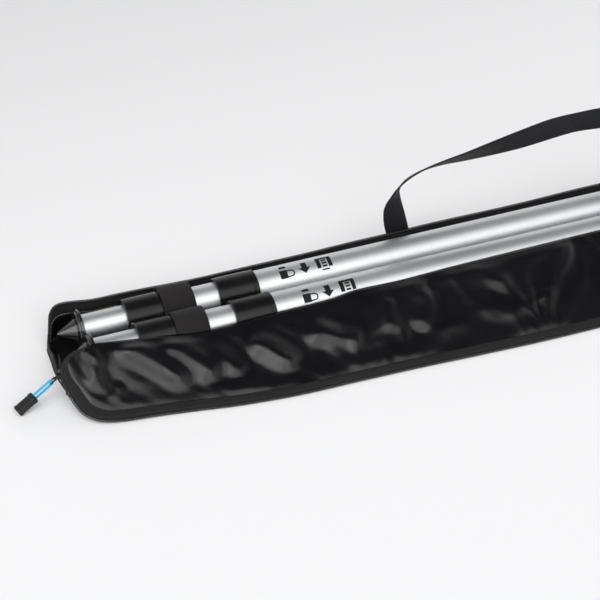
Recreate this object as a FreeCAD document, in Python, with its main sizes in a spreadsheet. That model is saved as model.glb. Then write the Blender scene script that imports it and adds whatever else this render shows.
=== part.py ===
import FreeCAD, Part
import math
import os
import Sketcher

# A padded zip-around case holding two three-section twist-lock poles.
# Frame: origin at the bottom centre of the case, +X along the poles towards their feet,
# +Y towards the wall that carries the strap, +Z up. Millimetres and degrees.

DOC = FreeCAD.newDocument("PoleKit")
SHEET = DOC.addObject("Spreadsheet::Sheet", "Sizes")
PIECES = []

SIZES = [
    ("case_length", 936.0, "outside length of the case over its end walls"),
    ("case_near", 37.0, "middle line to the outside of the hinge-side wall"),
    ("case_far", 39.0, "middle line to the outside of the strap-side wall"),
    ("far_corner", 20.0, "plan radius of the two corners on the strap side"),
    ("near_corner", 4.0, "plan radius of the two corners on the hinge side"),
    ("wall_thick", 2.0, "padded wall, fabric and lining together"),
    ("shell_thick", 1.2, "outer bottom fabric"),
    ("pad_thick", 2.2, "foam sheet in the bottom"),
    ("lining_thick", 0.8, "bottom lining"),
    ("wall_top", 16.0, "top of the padded wall, where the zip tape starts"),
    ("tape_width", 10.5, "zip tape that shows"),
    ("tape_thick", 1.4, "zip tape with its binding"),
    ("coil_size", 2.4, "height and width of the zip coil"),
    ("near_wall_top", 27.0, "top of the hinge-side wall"),
    ("sag_top", 9.6, "top of the zip tape where it sags across the open end"),
    ("sag_near", -32.7, "where the sagging end starts, on the hinge side"),
    ("sag_far", 36.5, "where the sagging end stops, on the strap side"),
    ("ridge_y", -36.0, "fold line between hinge-side wall and lid"),
    ("ridge_z", 29.4, "height of that fold line"),
    ("bead", 1.0, "radius of the sewn edge on each fold line"),
    ("fold_gap", 1.3, "room left round a fold line"),
    ("strip_width", 16.0, "narrow lid panel next to the fold"),
    ("strip_tilt", 33.0, "degrees the narrow panel slopes down when the case is open"),
    ("strip_thick", 1.6, "narrow panel thickness"),
    ("panel_width", 59.7, "wide lid panel, fold line to the outside of its coil"),
    ("panel_tilt", 19.1, "degrees the wide panel slopes down when the case is open"),
    ("lid_corner", 25.0, "plan radius of the lid's free corners"),
    ("lid_shell_thick", 1.0, "lid outer fabric"),
    ("lid_lining_thick", 0.8, "lid lining"),
    ("pole_pitch", 32.4, "distance between the two pole axes"),
    ("pole_height", 20.5, "pole axis above the ground"),
    ("outer_dia", 28.0, "outer tube"),
    ("mid_dia", 25.0, "middle tube"),
    ("inner_dia", 22.0, "inner tube"),
    ("tube_wall", 1.2, "wall of each tube"),
    ("collar_dia", 31.0, "twist collar"),
    ("collar_length", 34.0, "twist collar length"),
    ("collar_lip", 6.0, "part of the collar in front of the tube it sits on"),
    ("grip_groove", 0.5, "depth of the groove round a collar"),
    ("flange_dia", 32.0, "tip flange"),
    ("flange_thick", 4.0, "tip flange thickness"),
    ("spigot_length", 18.0, "tip plug inside the inner tube"),
    ("cone_dia", 19.0, "tip cone at its base"),
    ("cone_length", 15.5, "tip cone length"),
    ("cone_nose", 1.1, "radius of the blunt end of the cone"),
    ("tip_x", -445.0, "face of the tip flange that carries the cone"),
    ("lower_collar_at", 39.2, "from the flange face to the lower collar"),
    ("upper_collar_at", 115.8, "from the flange face to the upper collar"),
    ("inner_end", 775.0, "from the flange face to the far end of the inner tube"),
    ("mid_end", 840.0, "from the flange face to the far end of the middle tube"),
    ("outer_end", 900.0, "from the flange face to the far end of the outer tube"),
    ("foot_length", 20.0, "rubber foot on the outer tube"),
    ("foot_dia", 31.0, "rubber foot"),
    ("foot_floor", 4.5, "rubber beyond the end of the tube"),
    ("lock_length", 30.0, "expander jaw"),
    ("lock_gap", 2.0, "between a tube's end and its expander jaw"),
    ("lock_plug", 18.0, "plug of the expander screw inside the tube"),
    ("lock_fit", 0.06, "radial clearance of the jaw in its bore"),
    ("screw_dia", 8.0, "expander screw"),
    ("screw_fit", 0.08, "radial clearance of the screw in the jaw"),
    ("slot_width", 2.0, "slit that lets the jaw spread"),
    ("band_at", 361.0, "elastic loop centre from the middle of the case"),
    ("band_width", 28.0, "elastic loop width"),
    ("band_inner", 16.6, "inner radius of the elastic loop"),
    ("band_thick", 1.2, "elastic webbing thickness"),
    ("strap_at", 160.0, "strap leg centre from the middle of the case"),
    ("strap_width", 20.0, "webbing width"),
    ("strap_thick", 1.6, "webbing thickness"),
    ("strap_foot", 5.0, "lower end of the strap leg"),
    ("strap_top", 104.0, "highest edge of the strap"),
    ("strap_shoulder", 30.0, "outer radius where a leg turns into the crown"),
    ("strap_slope", 8.0, "degrees the crown rises towards its middle"),
    ("patch_thick", 1.2, "sewn patch under each strap leg"),
    ("patch_height", 18.0, "height of the patch"),
    ("slider_y", -36.0, "zip slider, across"),
    ("slider_z", 17.0, "zip slider, underside"),
    ("slider_height", 9.0, "zip slider length along the coil"),
    ("slider_width", 6.0, "zip slider width"),
    ("slider_depth", 5.0, "zip slider depth"),
    ("slider_fit", 0.1, "clearance of the slider round the coil"),
    ("pull_yaw", 12.0, "degrees the pull points towards the hinge side"),
    ("pull_tilt", 27.5, "degrees the pull hangs below level"),
    ("tab_reach", 7.8, "pull tab, pivot to the bar that the cord goes round"),
    ("tab_width", 4.6, "pull tab width"),
    ("tab_thick", 1.2, "pull tab thickness"),
    ("cord_dia", 2.0, "pull cord diameter"),
    ("cord_bend", 2.0, "radius of the cord's centre line round the tab"),
    ("cord_end", 23.5, "from the pivot to where the cord enters its grip"),
    ("grip_length", 17.5, "moulded grip length"),
    ("grip_width", 8.6, "moulded grip width"),
    ("grip_thick", 6.6, "moulded grip thickness"),
]


class Dim:
    """A size with its value now and its formula in the sheet."""

    def __init__(self, value, formula):
        self.value = value
        self.formula = formula

    def _join(self, other, sign, value):
        return Dim(value, "(%s %s %s)" % (self.formula, sign, as_dim(other).formula))

    def __add__(self, other):
        return self._join(other, "+", self.value + as_dim(other).value)

    def __sub__(self, other):
        return self._join(other, "-", self.value - as_dim(other).value)

    def __mul__(self, other):
        return self._join(other, "*", self.value * as_dim(other).value)

    def __truediv__(self, other):
        return self._join(other, "/", self.value / as_dim(other).value)

    def __neg__(self):
        return as_dim(0) - self


def as_dim(number):
    if isinstance(number, Dim):
        return number
    return Dim(float(number), repr(float(number)))


def fill_sheet():
    for row, (alias, value, note) in enumerate(SIZES, start=1):
        SHEET.set("A%d" % row, note)
        SHEET.set("B%d" % row, str(value))
        SHEET.setAlias("B%d" % row, alias)
    DOC.recompute()


def size(alias):
    return Dim(float(SHEET.get(alias)), "Sizes." + alias)


def sine(angle):
    return Dim(math.sin(math.radians(angle.value)), "sin(%s * 1 deg)" % angle.formula)


def cosine(angle):
    return Dim(math.cos(math.radians(angle.value)), "cos(%s * 1 deg)" % angle.formula)


def bind(thing, prop, dim):
    thing.setExpression(prop, as_dim(dim).formula)


def put(thing, x=0, y=0, z=0, rotation=None):
    """Place an object; its position stays bound to the sheet."""
    spots = [as_dim(x), as_dim(y), as_dim(z)]
    turn = rotation or FreeCAD.Rotation()
    thing.Placement = FreeCAD.Placement(FreeCAD.Vector(*[d.value for d in spots]), turn)
    for letter, spot in zip("xyz", spots):
        bind(thing, "Placement.Base." + letter, spot)
    return thing


def name_piece(thing, node):
    thing.Label = node
    PIECES.append(thing)
    return thing


def origin_plane(body, role):
    return next(f for f in body.Origin.OriginFeatures if f.Role == role)


def new_sketch(body, role):
    sketch = body.newObject("Sketcher::SketchObject", body.Name + "_Sketch")
    sketch.AttachmentSupport = [(origin_plane(body, role), "")]
    sketch.MapMode = "FlatFace"
    return sketch


def fix_point(sketch, geometry, point, x, y):
    """Tie a point of the sketch to its two sheet-bound coordinates."""
    for kind, dim in (("DistanceX", as_dim(x)), ("DistanceY", as_dim(y))):
        index = sketch.addConstraint(
            Sketcher.Constraint(kind, -1, 1, geometry, point, dim.value))
        sketch.setExpression("Constraints[%d]" % index, dim.formula)


def polygon(sketch, corners):
    """Closed outline through the corners, each corner tied to the sheet."""
    spots = [FreeCAD.Vector(as_dim(x).value, as_dim(y).value, 0) for x, y in corners]
    count = len(spots)
    for i in range(count):
        sketch.addGeometry(Part.LineSegment(spots[i], spots[(i + 1) % count]), False)
    for i in range(count):
        sketch.addConstraint(Sketcher.Constraint("Coincident", i, 2, (i + 1) % count, 1))
    for i, (x, y) in enumerate(corners):
        fix_point(sketch, i, 1, x, y)


def rounded_outline(sketch, x0, x1, y0, y1, low_radius, high_radius):
    """Rectangle whose two low-Y corners and two high-Y corners are rounded."""
    left, right, low, high = x0.value, x1.value, y0.value, y1.value
    a, b = low_radius.value, high_radius.value
    vec = FreeCAD.Vector
    ends = [
        (vec(left + a, low), vec(right - a, low)),
        (vec(right, low + a), vec(right, high - b)),
        (vec(right - b, high), vec(left + b, high)),
        (vec(left, high - b), vec(left, low + a)),
    ]
    for start, stop in ends:
        sketch.addGeometry(Part.LineSegment(start, stop), False)
    quarter = math.pi / 2
    arcs = [
        (vec(right - a, low + a), a, 3),
        (vec(right - b, high - b), b, 0),
        (vec(left + b, high - b), b, 1),
        (vec(left + a, low + a), a, 2),
    ]
    for centre, radius, turn in arcs:
        circle = Part.Circle(centre, vec(0, 0, 1), radius)
        arc = Part.ArcOfCircle(circle, turn * quarter, (turn + 1) * quarter)
        sketch.addGeometry(arc, False)
    for i in range(4):
        sketch.addConstraint(Sketcher.Constraint("Tangent", i, 2, 4 + i, 1))
        sketch.addConstraint(Sketcher.Constraint("Tangent", 4 + i, 2, (i + 1) % 4, 1))
    for i, kind in enumerate(("Horizontal", "Vertical", "Horizontal", "Vertical")):
        sketch.addConstraint(Sketcher.Constraint(kind, i))
    for arc, radius in ((4, low_radius), (5, high_radius), (6, high_radius), (7, low_radius)):
        index = sketch.addConstraint(Sketcher.Constraint("Radius", arc, radius.value))
        sketch.setExpression("Constraints[%d]" % index, radius.formula)
    sides = ((0, "DistanceY", y0), (1, "DistanceX", x1), (2, "DistanceY", y1), (3, "DistanceX", x0))
    for line, kind, dim in sides:
        index = sketch.addConstraint(Sketcher.Constraint(kind, -1, 1, line, 1, dim.value))
        sketch.setExpression("Constraints[%d]" % index, dim.formula)


def new_body(name):
    return DOC.addObject("PartDesign::Body", name)


def pad(body, sketch, length, middle=False):
    feature = body.newObject("PartDesign::Pad", body.Name + "_Pad")
    feature.Profile = sketch
    feature.Midplane = middle
    bind(feature, "Length", length)
    return feature


def rounded_plate(name, x0, x1, y0, y1, low_radius, high_radius, height):
    body = new_body(name)
    sketch = new_sketch(body, "XY_Plane")
    rounded_outline(sketch, x0, x1, y0, y1, low_radius, high_radius)
    pad(body, sketch, height)
    return body


def revolved(name, outline):
    """Body turned about the X axis from an outline of (along, radius) corners."""
    body = new_body(name)
    sketch = new_sketch(body, "XZ_Plane")
    polygon(sketch, outline)
    feature = body.newObject("PartDesign::Revolution", name + "_Turn")
    feature.Profile = sketch
    feature.ReferenceAxis = (sketch, ["H_Axis"])
    feature.Angle = 360
    return body


def block(name, x0, x1, y0, y1, z0, z1):
    """Plain box between sheet-bound planes."""
    thing = DOC.addObject("Part::Box", name)
    bind(thing, "Length", as_dim(x1) - x0)
    bind(thing, "Width", as_dim(y1) - y0)
    bind(thing, "Height", as_dim(z1) - z0)
    return put(thing, x0, y0, z0)


def rod(name, radius, length):
    thing = DOC.addObject("Part::Cylinder", name)
    bind(thing, "Radius", radius)
    bind(thing, "Height", length)
    return thing


def combine(kind, name, base, tool):
    thing = DOC.addObject("Part::" + kind, name)
    thing.Base = base
    thing.Tool = tool
    return thing


ALONG_X = FreeCAD.Rotation(FreeCAD.Vector(0, 1, 0), 90)


def ring_wall(name, inset_out, inset_in, height):
    """Four-sided wall between two insets of the case outline."""
    half = size("case_length") / 2
    plates = []
    for side, inset, tall in (("Out", inset_out, height), ("In", inset_in, height + 2)):
        plates.append(rounded_plate(
            name + side, -half + inset, half - inset, -size("case_near") + inset,
            size("case_far") - inset, size("near_corner") - inset,
            size("far_corner") - inset, tall))
    put(plates[1], 0, 0, -1)
    return combine("Cut", name + "Ring", plates[0], plates[1])


def cut_out(node, base, x0, x1, y0, y1, z0, z1):
    """The part of a shape that lies inside a box, as a node."""
    window = block(node + "_window", x0, x1, y0, y1, z0, z1)
    return name_piece(combine("Common", node + "_piece", base, window), node)


def build_bottom():
    """Bottom of the case: outer fabric, foam sheet, lining."""
    half = size("case_length") / 2
    wall = size("wall_thick")
    none = as_dim(0)
    layers = (
        ("base_shell", none, none, size("shell_thick")),
        ("base_foam", wall, size("shell_thick"), size("pad_thick")),
        ("base_lining", wall, size("shell_thick") + size("pad_thick"), size("lining_thick")),
    )
    for node, inset, low, thick in layers:
        plate = rounded_plate(
            node + "_body", -half + inset, half - inset, -size("case_near") + inset,
            size("case_far") - inset, size("near_corner") - inset,
            size("far_corner") - inset, thick)
        name_piece(put(plate, 0, 0, low), node)


def build_walls():
    """Padded walls and the zip half that runs round their top."""
    half = size("case_length") / 2
    far = size("case_far") + 5
    near = -size("case_near") - 5
    edge = half + 5
    corner = half - size("far_corner")
    low = size("shell_thick")
    top = size("wall_top")
    rim = top + size("tape_width")
    coil_top = rim + size("coil_size")
    sag_top = size("sag_top")
    sag_far = size("sag_far")
    sag_near = size("sag_near")
    zero = as_dim(0)
    wall = ring_wall("Wall", zero, size("wall_thick"), as_dim(40))
    tape = ring_wall("Tape", as_dim(0.2), size("tape_thick") + 0.2, as_dim(40))
    coil = ring_wall("Coil", zero, size("coil_size"), as_dim(40))
    cut_out("far_wall", wall, -edge, edge, sag_far, far, low, top)
    cut_out("right_end_wall", wall, corner, edge, sag_near, sag_far, low, top)
    cut_out("near_wall", wall, -edge, edge, near, sag_near, low, size("near_wall_top"))
    cut_out("far_zip_tape", tape, -edge, edge, sag_far, far, top, rim)
    cut_out("right_end_zip_tape", tape, corner, edge, sag_near, sag_far, top, rim)
    cut_out("far_zip_coil", coil, -edge, edge, sag_far, far, rim, coil_top)
    cut_out("right_end_zip_coil", coil, corner, edge, sag_near, sag_far, rim, coil_top)
    cut_out("left_end_zip_tape", tape, -edge, -corner, sag_near, sag_far, low, sag_top)
    cut_out("left_end_zip_coil", coil, -edge, -corner, sag_near, sag_far, sag_top,
            sag_top + size("coil_size"))


def build_lid():
    """Narrow hinge-side panel and the wide panel that carries the other zip half."""
    half = size("case_length") / 2
    gap = size("fold_gap")
    bead = size("bead")
    width = size("strip_width")
    tilt = size("strip_tilt")
    inset = as_dim(2)
    strip_turn = FreeCAD.Rotation(FreeCAD.Vector(1, 0, 0), tilt.value)
    thick = size("strip_thick")
    strip = block("StripPlate", -half + inset, half - inset, -width + gap, 0,
                  -thick / 2, thick / 2)
    strip_bead = put(rod("StripBead", bead, (half - inset) * 2), -half + inset, 0, 0, ALONG_X)
    strip_piece = combine("Fuse", "lid_hinge_strip_piece", strip, strip_bead)
    name_piece(put(strip_piece, 0, size("ridge_y"), size("ridge_z"), strip_turn),
               "lid_hinge_strip")

    fold_y = size("ridge_y") - width * cosine(tilt)
    fold_z = size("ridge_z") - width * sine(tilt)
    panel_turn = FreeCAD.Rotation(FreeCAD.Vector(1, 0, 0), size("panel_tilt").value)
    coil = size("coil_size")
    tape = size("tape_width")
    outer = size("panel_width")
    hinge_round = as_dim(0.5)

    def plate(name, edge, reach, hinge_side, height):
        """Lid plate whose free edges lie this far in from the coil's outside."""
        return rounded_plate(name, -half + edge, half - edge, -outer + reach, hinge_side,
                             size("lid_corner") - reach, hinge_round, height)

    field_shell = put(plate("LidShellPlate", coil + tape, coil + tape, as_dim(0),
                            size("lid_shell_thick")), 0, 0, -size("lid_shell_thick"))
    shell_length = (half - coil - tape) * 2
    shell_bead = put(rod("LidShellBead", bead, shell_length),
                     -half + coil + tape, 0, 0, ALONG_X)
    shell = combine("Fuse", "lid_shell_piece", field_shell, shell_bead)
    lining = plate("lid_lining_piece", coil + tape, coil + tape, -gap,
                   size("lid_lining_thick"))
    tape_out = plate("LidTapeOut", coil, coil, -gap, size("tape_thick"))
    tape_in = put(plate("LidTapeIn", coil + tape, coil + tape, as_dim(2),
                        size("tape_thick") + 2), 0, 0, -1)
    tape_ring = combine("Cut", "lid_zip_tape_piece", tape_out, tape_in)
    coil_out = plate("LidCoilOut", as_dim(0), as_dim(0), -gap, coil)
    coil_in = put(plate("LidCoilIn", coil, coil, as_dim(2), coil + 2), 0, 0, -1)
    coil_ring = combine("Cut", "lid_zip_coil_piece", coil_out, coil_in)
    for node, piece, lift in (("lid_shell", shell, as_dim(0)),
                              ("lid_lining", lining, as_dim(0)),
                              ("lid_zip_tape", tape_ring, -size("tape_thick") / 2),
                              ("lid_zip_coil", coil_ring, -coil / 2)):
        down = size("panel_tilt")
        name_piece(put(piece, 0, fold_y - lift * sine(down), fold_z + lift * cosine(down),
                       panel_turn), node)


def tube_piece(node, start, stop, dia, y):
    """Thin tube along X with the common wall thickness."""
    length = stop - start
    skin = rod(node + "_skin", dia / 2, length)
    hollow = put(rod(node + "_hollow", dia / 2 - size("tube_wall"), length + 2), 0, 0, -1)
    piece = combine("Cut", node + "_piece", skin, hollow)
    name_piece(put(piece, start, y, size("pole_height"), ALONG_X), node)


def collar_piece(node, start, tube_dia, slide_dia, y):
    """Twist collar: a guide lip in front of the tube and a sleeve glued over it."""
    length = size("collar_length")
    rim = size("collar_dia") / 2
    lip = size("collar_lip")
    guide = slide_dia / 2 + 0.3
    bevel = as_dim(0.8)
    groove = size("grip_groove")
    outline = [
        (0, guide), (0, rim - bevel), (bevel, rim), (length - 5, rim),
        (length - 4.6, rim - groove), (length - 3.6, rim - groove), (length - 3.2, rim),
        (length - bevel, rim), (length, rim - bevel),
        (length, tube_dia / 2), (lip, tube_dia / 2), (lip, guide),
    ]
    name_piece(put(revolved(node + "_body", outline), start, y, size("pole_height")), node)


def tip_pieces(prefix, start, y):
    """Flanged plug in the inner tube's end, and the cone it carries."""
    flange = size("flange_dia") / 2
    thick = size("flange_thick")
    bore = size("inner_dia") / 2 - size("tube_wall")
    step = as_dim(1.2)
    plug = [
        (0, 0), (0, flange - 1.8), (0.6, flange - 1.2), (step, flange - 1.2), (step + 0.4, flange),
        (thick - 0.4, flange), (thick, flange - 0.4), (thick, bore),
        (thick + size("spigot_length"), bore), (thick + size("spigot_length"), 0),
    ]
    height = size("pole_height")
    name_piece(put(revolved(prefix + "tip_plug_body", plug), start, y, height),
               prefix + "tip_plug")
    base = size("cone_dia") / 2
    nose = size("cone_nose")
    length = size("cone_length")
    cone = [(0, 0), (0, base), (-1, base), (-length + 0.6, nose), (-length, nose - 0.6),
            (-length, 0)]
    name_piece(put(revolved(prefix + "tip_cone_body", cone), start, y, height),
               prefix + "tip_cone")


def lock_pieces(prefix, end, tube_dia, bore_dia, y):
    """Expander screw fixed in a tube's end, and the split jaw that it spreads."""
    height = size("pole_height")
    bore = tube_dia / 2 - size("tube_wall")
    screw = size("screw_dia") / 2
    gap = size("lock_gap")
    length = size("lock_length")
    reach = gap + length + 2
    plug = [
        (-size("lock_plug"), 0), (-size("lock_plug"), bore), (0, bore), (0, tube_dia / 2 - 0.2),
        (1.2, tube_dia / 2 - 0.2), (1.2, screw), (reach - 1, screw), (reach, screw - 1),
        (reach, 0),
    ]
    name_piece(put(revolved(prefix + "screw_body", plug), end, y, height), prefix + "screw")
    grip = bore_dia / 2 - size("lock_fit")
    hole = screw + size("screw_fit")
    sleeve = [
        (gap, hole), (gap, grip - 1.5), (gap + 2, grip), (gap + length - 2, grip),
        (gap + length, grip - 1.5), (gap + length, hole),
    ]
    jaw = revolved(prefix + "jaw_body", sleeve)
    slit = size("slot_width")
    deep = length * 0.6
    slots = block(prefix + "jaw_slit", gap + length - deep, gap + length + 1,
                  -slit / 2, slit / 2, screw, grip + 1)
    piece = combine("Cut", prefix + "jaw_piece", jaw, slots)
    name_piece(put(piece, end, y, height), prefix + "jaw")


def build_pole(prefix, y, outer_shift, mid_shift):
    """One pole: three nested tubes, two twist collars, two inner locks, tip and foot."""
    face = size("tip_x")
    lip = size("collar_lip")
    upper = face + size("upper_collar_at") + outer_shift
    lower = face + size("lower_collar_at") + mid_shift
    outer_stop = face + size("outer_end") + outer_shift
    mid_stop = face + size("mid_end") + mid_shift
    inner_stop = face + size("inner_end")
    wall = size("tube_wall")
    tube_piece(prefix + "outer_tube", upper + lip, outer_stop, size("outer_dia"), y)
    tube_piece(prefix + "mid_tube", lower + lip, mid_stop, size("mid_dia"), y)
    tube_piece(prefix + "inner_tube", face + size("flange_thick"), inner_stop,
               size("inner_dia"), y)
    collar_piece(prefix + "upper_collar", upper, size("outer_dia"), size("mid_dia"), y)
    collar_piece(prefix + "lower_collar", lower, size("mid_dia"), size("inner_dia"), y)
    tip_pieces(prefix, face, y)
    lock_pieces(prefix + "upper_lock_", mid_stop, size("mid_dia"),
                size("outer_dia") - wall * 2, y)
    lock_pieces(prefix + "lower_lock_", inner_stop, size("inner_dia"),
                size("mid_dia") - wall * 2, y)
    foot = size("foot_dia") / 2
    hold = size("outer_dia") / 2
    floor = size("foot_floor")
    sleeve = size("foot_length") - floor
    cap = [
        (-sleeve, hold), (-sleeve, foot - 0.8), (-sleeve + 0.8, foot), (floor - 1.5, foot),
        (floor, foot - 1.5), (floor, 0), (0, 0), (0, hold),
    ]
    name_piece(put(revolved(prefix + "foot_cap_body", cap), outer_stop, y, size("pole_height")),
               prefix + "foot_cap")


def build_bands():
    """Elastic loops: one webbing arch over both poles near each end of the case."""
    inner = size("band_inner")
    outer = inner + size("band_thick")
    floor = size("shell_thick") + size("pad_thick") + size("lining_thick")
    height = size("pole_height")
    offset = size("pole_pitch") / 2
    width = size("band_width")
    for side, node in ((-1, "left_elastic_band"), (1, "right_elastic_band")):
        start = size("band_at") * side - width / 2

        def arches(tag, radius, x, length):
            """Two round-topped tunnels side by side, down to the lining."""
            rounds = []
            for end in (-1, 1):
                ring = put(rod("%s_%s_%d" % (node, tag, end + 1), radius, length),
                           x, offset * end, height, ALONG_X)
                leg = block("%s_%s_leg_%d" % (node, tag, end + 1), x, x + length,
                            offset * end - radius, offset * end + radius, floor, height)
                if tag == "hole":
                    leg = block("%s_%s_low_%d" % (node, tag, end + 1), x, x + length,
                                offset * end - radius, offset * end + radius, 0, height)
                rounds.append(combine("Fuse", "%s_%s_arch_%d" % (node, tag, end + 1), ring, leg))
            return combine("Fuse", "%s_%s" % (node, tag), rounds[0], rounds[1])

        skin = arches("skin", outer, start, width)
        window = block(node + "_clear", start - 1, start + width + 1, -60, 60, floor, 60)
        trimmed = combine("Common", node + "_trim", skin, window)
        hole = arches("hole", inner, start - 1, width + 2)
        name_piece(combine("Cut", node + "_piece", trimmed, hole), node)


def arch_edge(reach, foot, top, shoulder, slope):
    """Half of one edge of the strap: leg, shoulder arc, rising line, crown arc."""
    turn = math.radians(90 - slope)
    crown = 60.0
    rise = math.radians(slope)
    crown_low = top - crown * math.tan(rise) / 2
    run = reach - crown
    corner = crown_low - run * math.tan(rise)
    back = shoulder * math.tan(turn / 2)
    leg_top = corner - back
    mid = turn / 2
    centre_x = -reach + shoulder
    points = [
        (-reach, foot), (-reach, leg_top),
        (centre_x - shoulder * math.cos(mid), leg_top + shoulder * math.sin(mid)),
        (-reach + back * math.cos(rise), corner + back * math.sin(rise)),
        (-crown, crown_low), (0.0, top),
    ]
    return points


def build_strap():
    """Carry strap: flat webbing standing in an arch outside the far wall."""
    width = size("strap_width").value
    reach = size("strap_at").value + width / 2
    foot = size("strap_foot").value
    top = size("strap_top").value
    shoulder = size("strap_shoulder").value
    slope = size("strap_slope").value
    outer = arch_edge(reach, foot, top, shoulder, slope)
    inner = arch_edge(reach - width, foot, top - width, shoulder - width * 0.6, slope)

    def edges(points):
        spot = [FreeCAD.Vector(x, 0, z) for x, z in points]
        mirror = [FreeCAD.Vector(-x, 0, z) for x, z in points]
        return [
            Part.LineSegment(spot[0], spot[1]), Part.Arc(spot[1], spot[2], spot[3]),
            Part.LineSegment(spot[3], spot[4]), Part.Arc(spot[4], spot[5], mirror[4]),
            Part.LineSegment(mirror[4], mirror[3]), Part.Arc(mirror[3], mirror[2], mirror[1]),
            Part.LineSegment(mirror[1], mirror[0]),
        ]

    def foot_line(side):
        first = FreeCAD.Vector(side * reach, 0, foot)
        return Part.LineSegment(first, FreeCAD.Vector(side * (reach - width), 0, foot))

    curves = edges(outer) + edges(inner) + [foot_line(-1), foot_line(1)]
    outline = Part.Wire(Part.__sortEdges__([c.toShape() for c in curves]))
    face = Part.Face(outline)
    strap = DOC.addObject("Part::Feature", "carry_strap_piece")
    strap.Shape = face.extrude(FreeCAD.Vector(0, size("strap_thick").value, 0))
    put(strap, 0, size("case_far") + size("patch_thick"), 0)
    name_piece(strap, "carry_strap")
    half = size("strap_width") / 2 + 1
    for side, node in ((-1, "left_strap_patch"), (1, "right_strap_patch")):
        x = size("strap_at") * side
        patch = block(node + "_piece", x - half, x + half, size("case_far"),
                      size("case_far") + size("patch_thick"), size("strap_foot") - 1,
                      size("strap_foot") - 1 + size("patch_height"))
        name_piece(patch, node)


def build_slider():
    """End of the zip at the near corner: coil stretch, end stop, slider and cord pull."""
    half = size("case_length") / 2
    radius = size("coil_size") / 2
    coil_x = -half - radius
    y = size("slider_y")
    low = size("slider_z")
    tall = size("slider_height")
    wide = size("slider_width") / 2
    coil = put(rod("corner_zip_coil_piece", radius, as_dim(26)), coil_x, y, 1.0)
    name_piece(coil, "corner_zip_coil")
    stop = block("zip_end_stop_piece", coil_x - radius - 0.4, -half, y - radius - 0.6,
                 y + radius + 0.6, 27, 29.6)
    name_piece(stop, "zip_end_stop")

    front = coil_x - radius + 0.4 - size("slider_depth") + radius
    shell = block("SliderBlock", front, -half - 0.3, y - wide, y + wide, low, low + tall)
    fit = radius + size("slider_fit")
    channel = put(rod("SliderBore", fit, tall + 2), coil_x, y, low - 1)
    mouth = block("SliderMouth", coil_x, -half + 1, y - fit, y + fit, low - 1, low + tall + 1)
    gate = combine("Fuse", "SliderChannel", channel, mouth)
    hollow = combine("Cut", "SliderShell", shell, gate)
    pivot_x = front - 1.4
    pivot_z = low + tall / 2 + 0.5
    lugs = []
    for side in (-1, 1):
        start = y + (wide - 1.2) * side - 0.6
        lugs.append(block("SliderLug%d" % (side + 1), pivot_x - 1.2, front + 0.5,
                          start, start + 1.2, pivot_z - 1.6, pivot_z + 1.6))
    lug_pair = combine("Fuse", "SliderLugs", lugs[0], lugs[1])
    with_lugs = combine("Fuse", "SliderWithLugs", hollow, lug_pair)
    yaw = size("pull_yaw")
    across = FreeCAD.Rotation(FreeCAD.Vector(0, 0, 1), yaw.value).multiply(
        FreeCAD.Rotation(FreeCAD.Vector(1, 0, 0), 90))
    reach = wide + 1
    pin_fit = put(rod("SliderPinHole", as_dim(0.75), reach * 2), pivot_x - sine(yaw) * reach,
                  y + cosine(yaw) * reach, pivot_z, across)
    name_piece(combine("Cut", "zip_slider_piece", with_lugs, pin_fit), "zip_slider")
    return pivot_x, y, pivot_z


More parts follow.
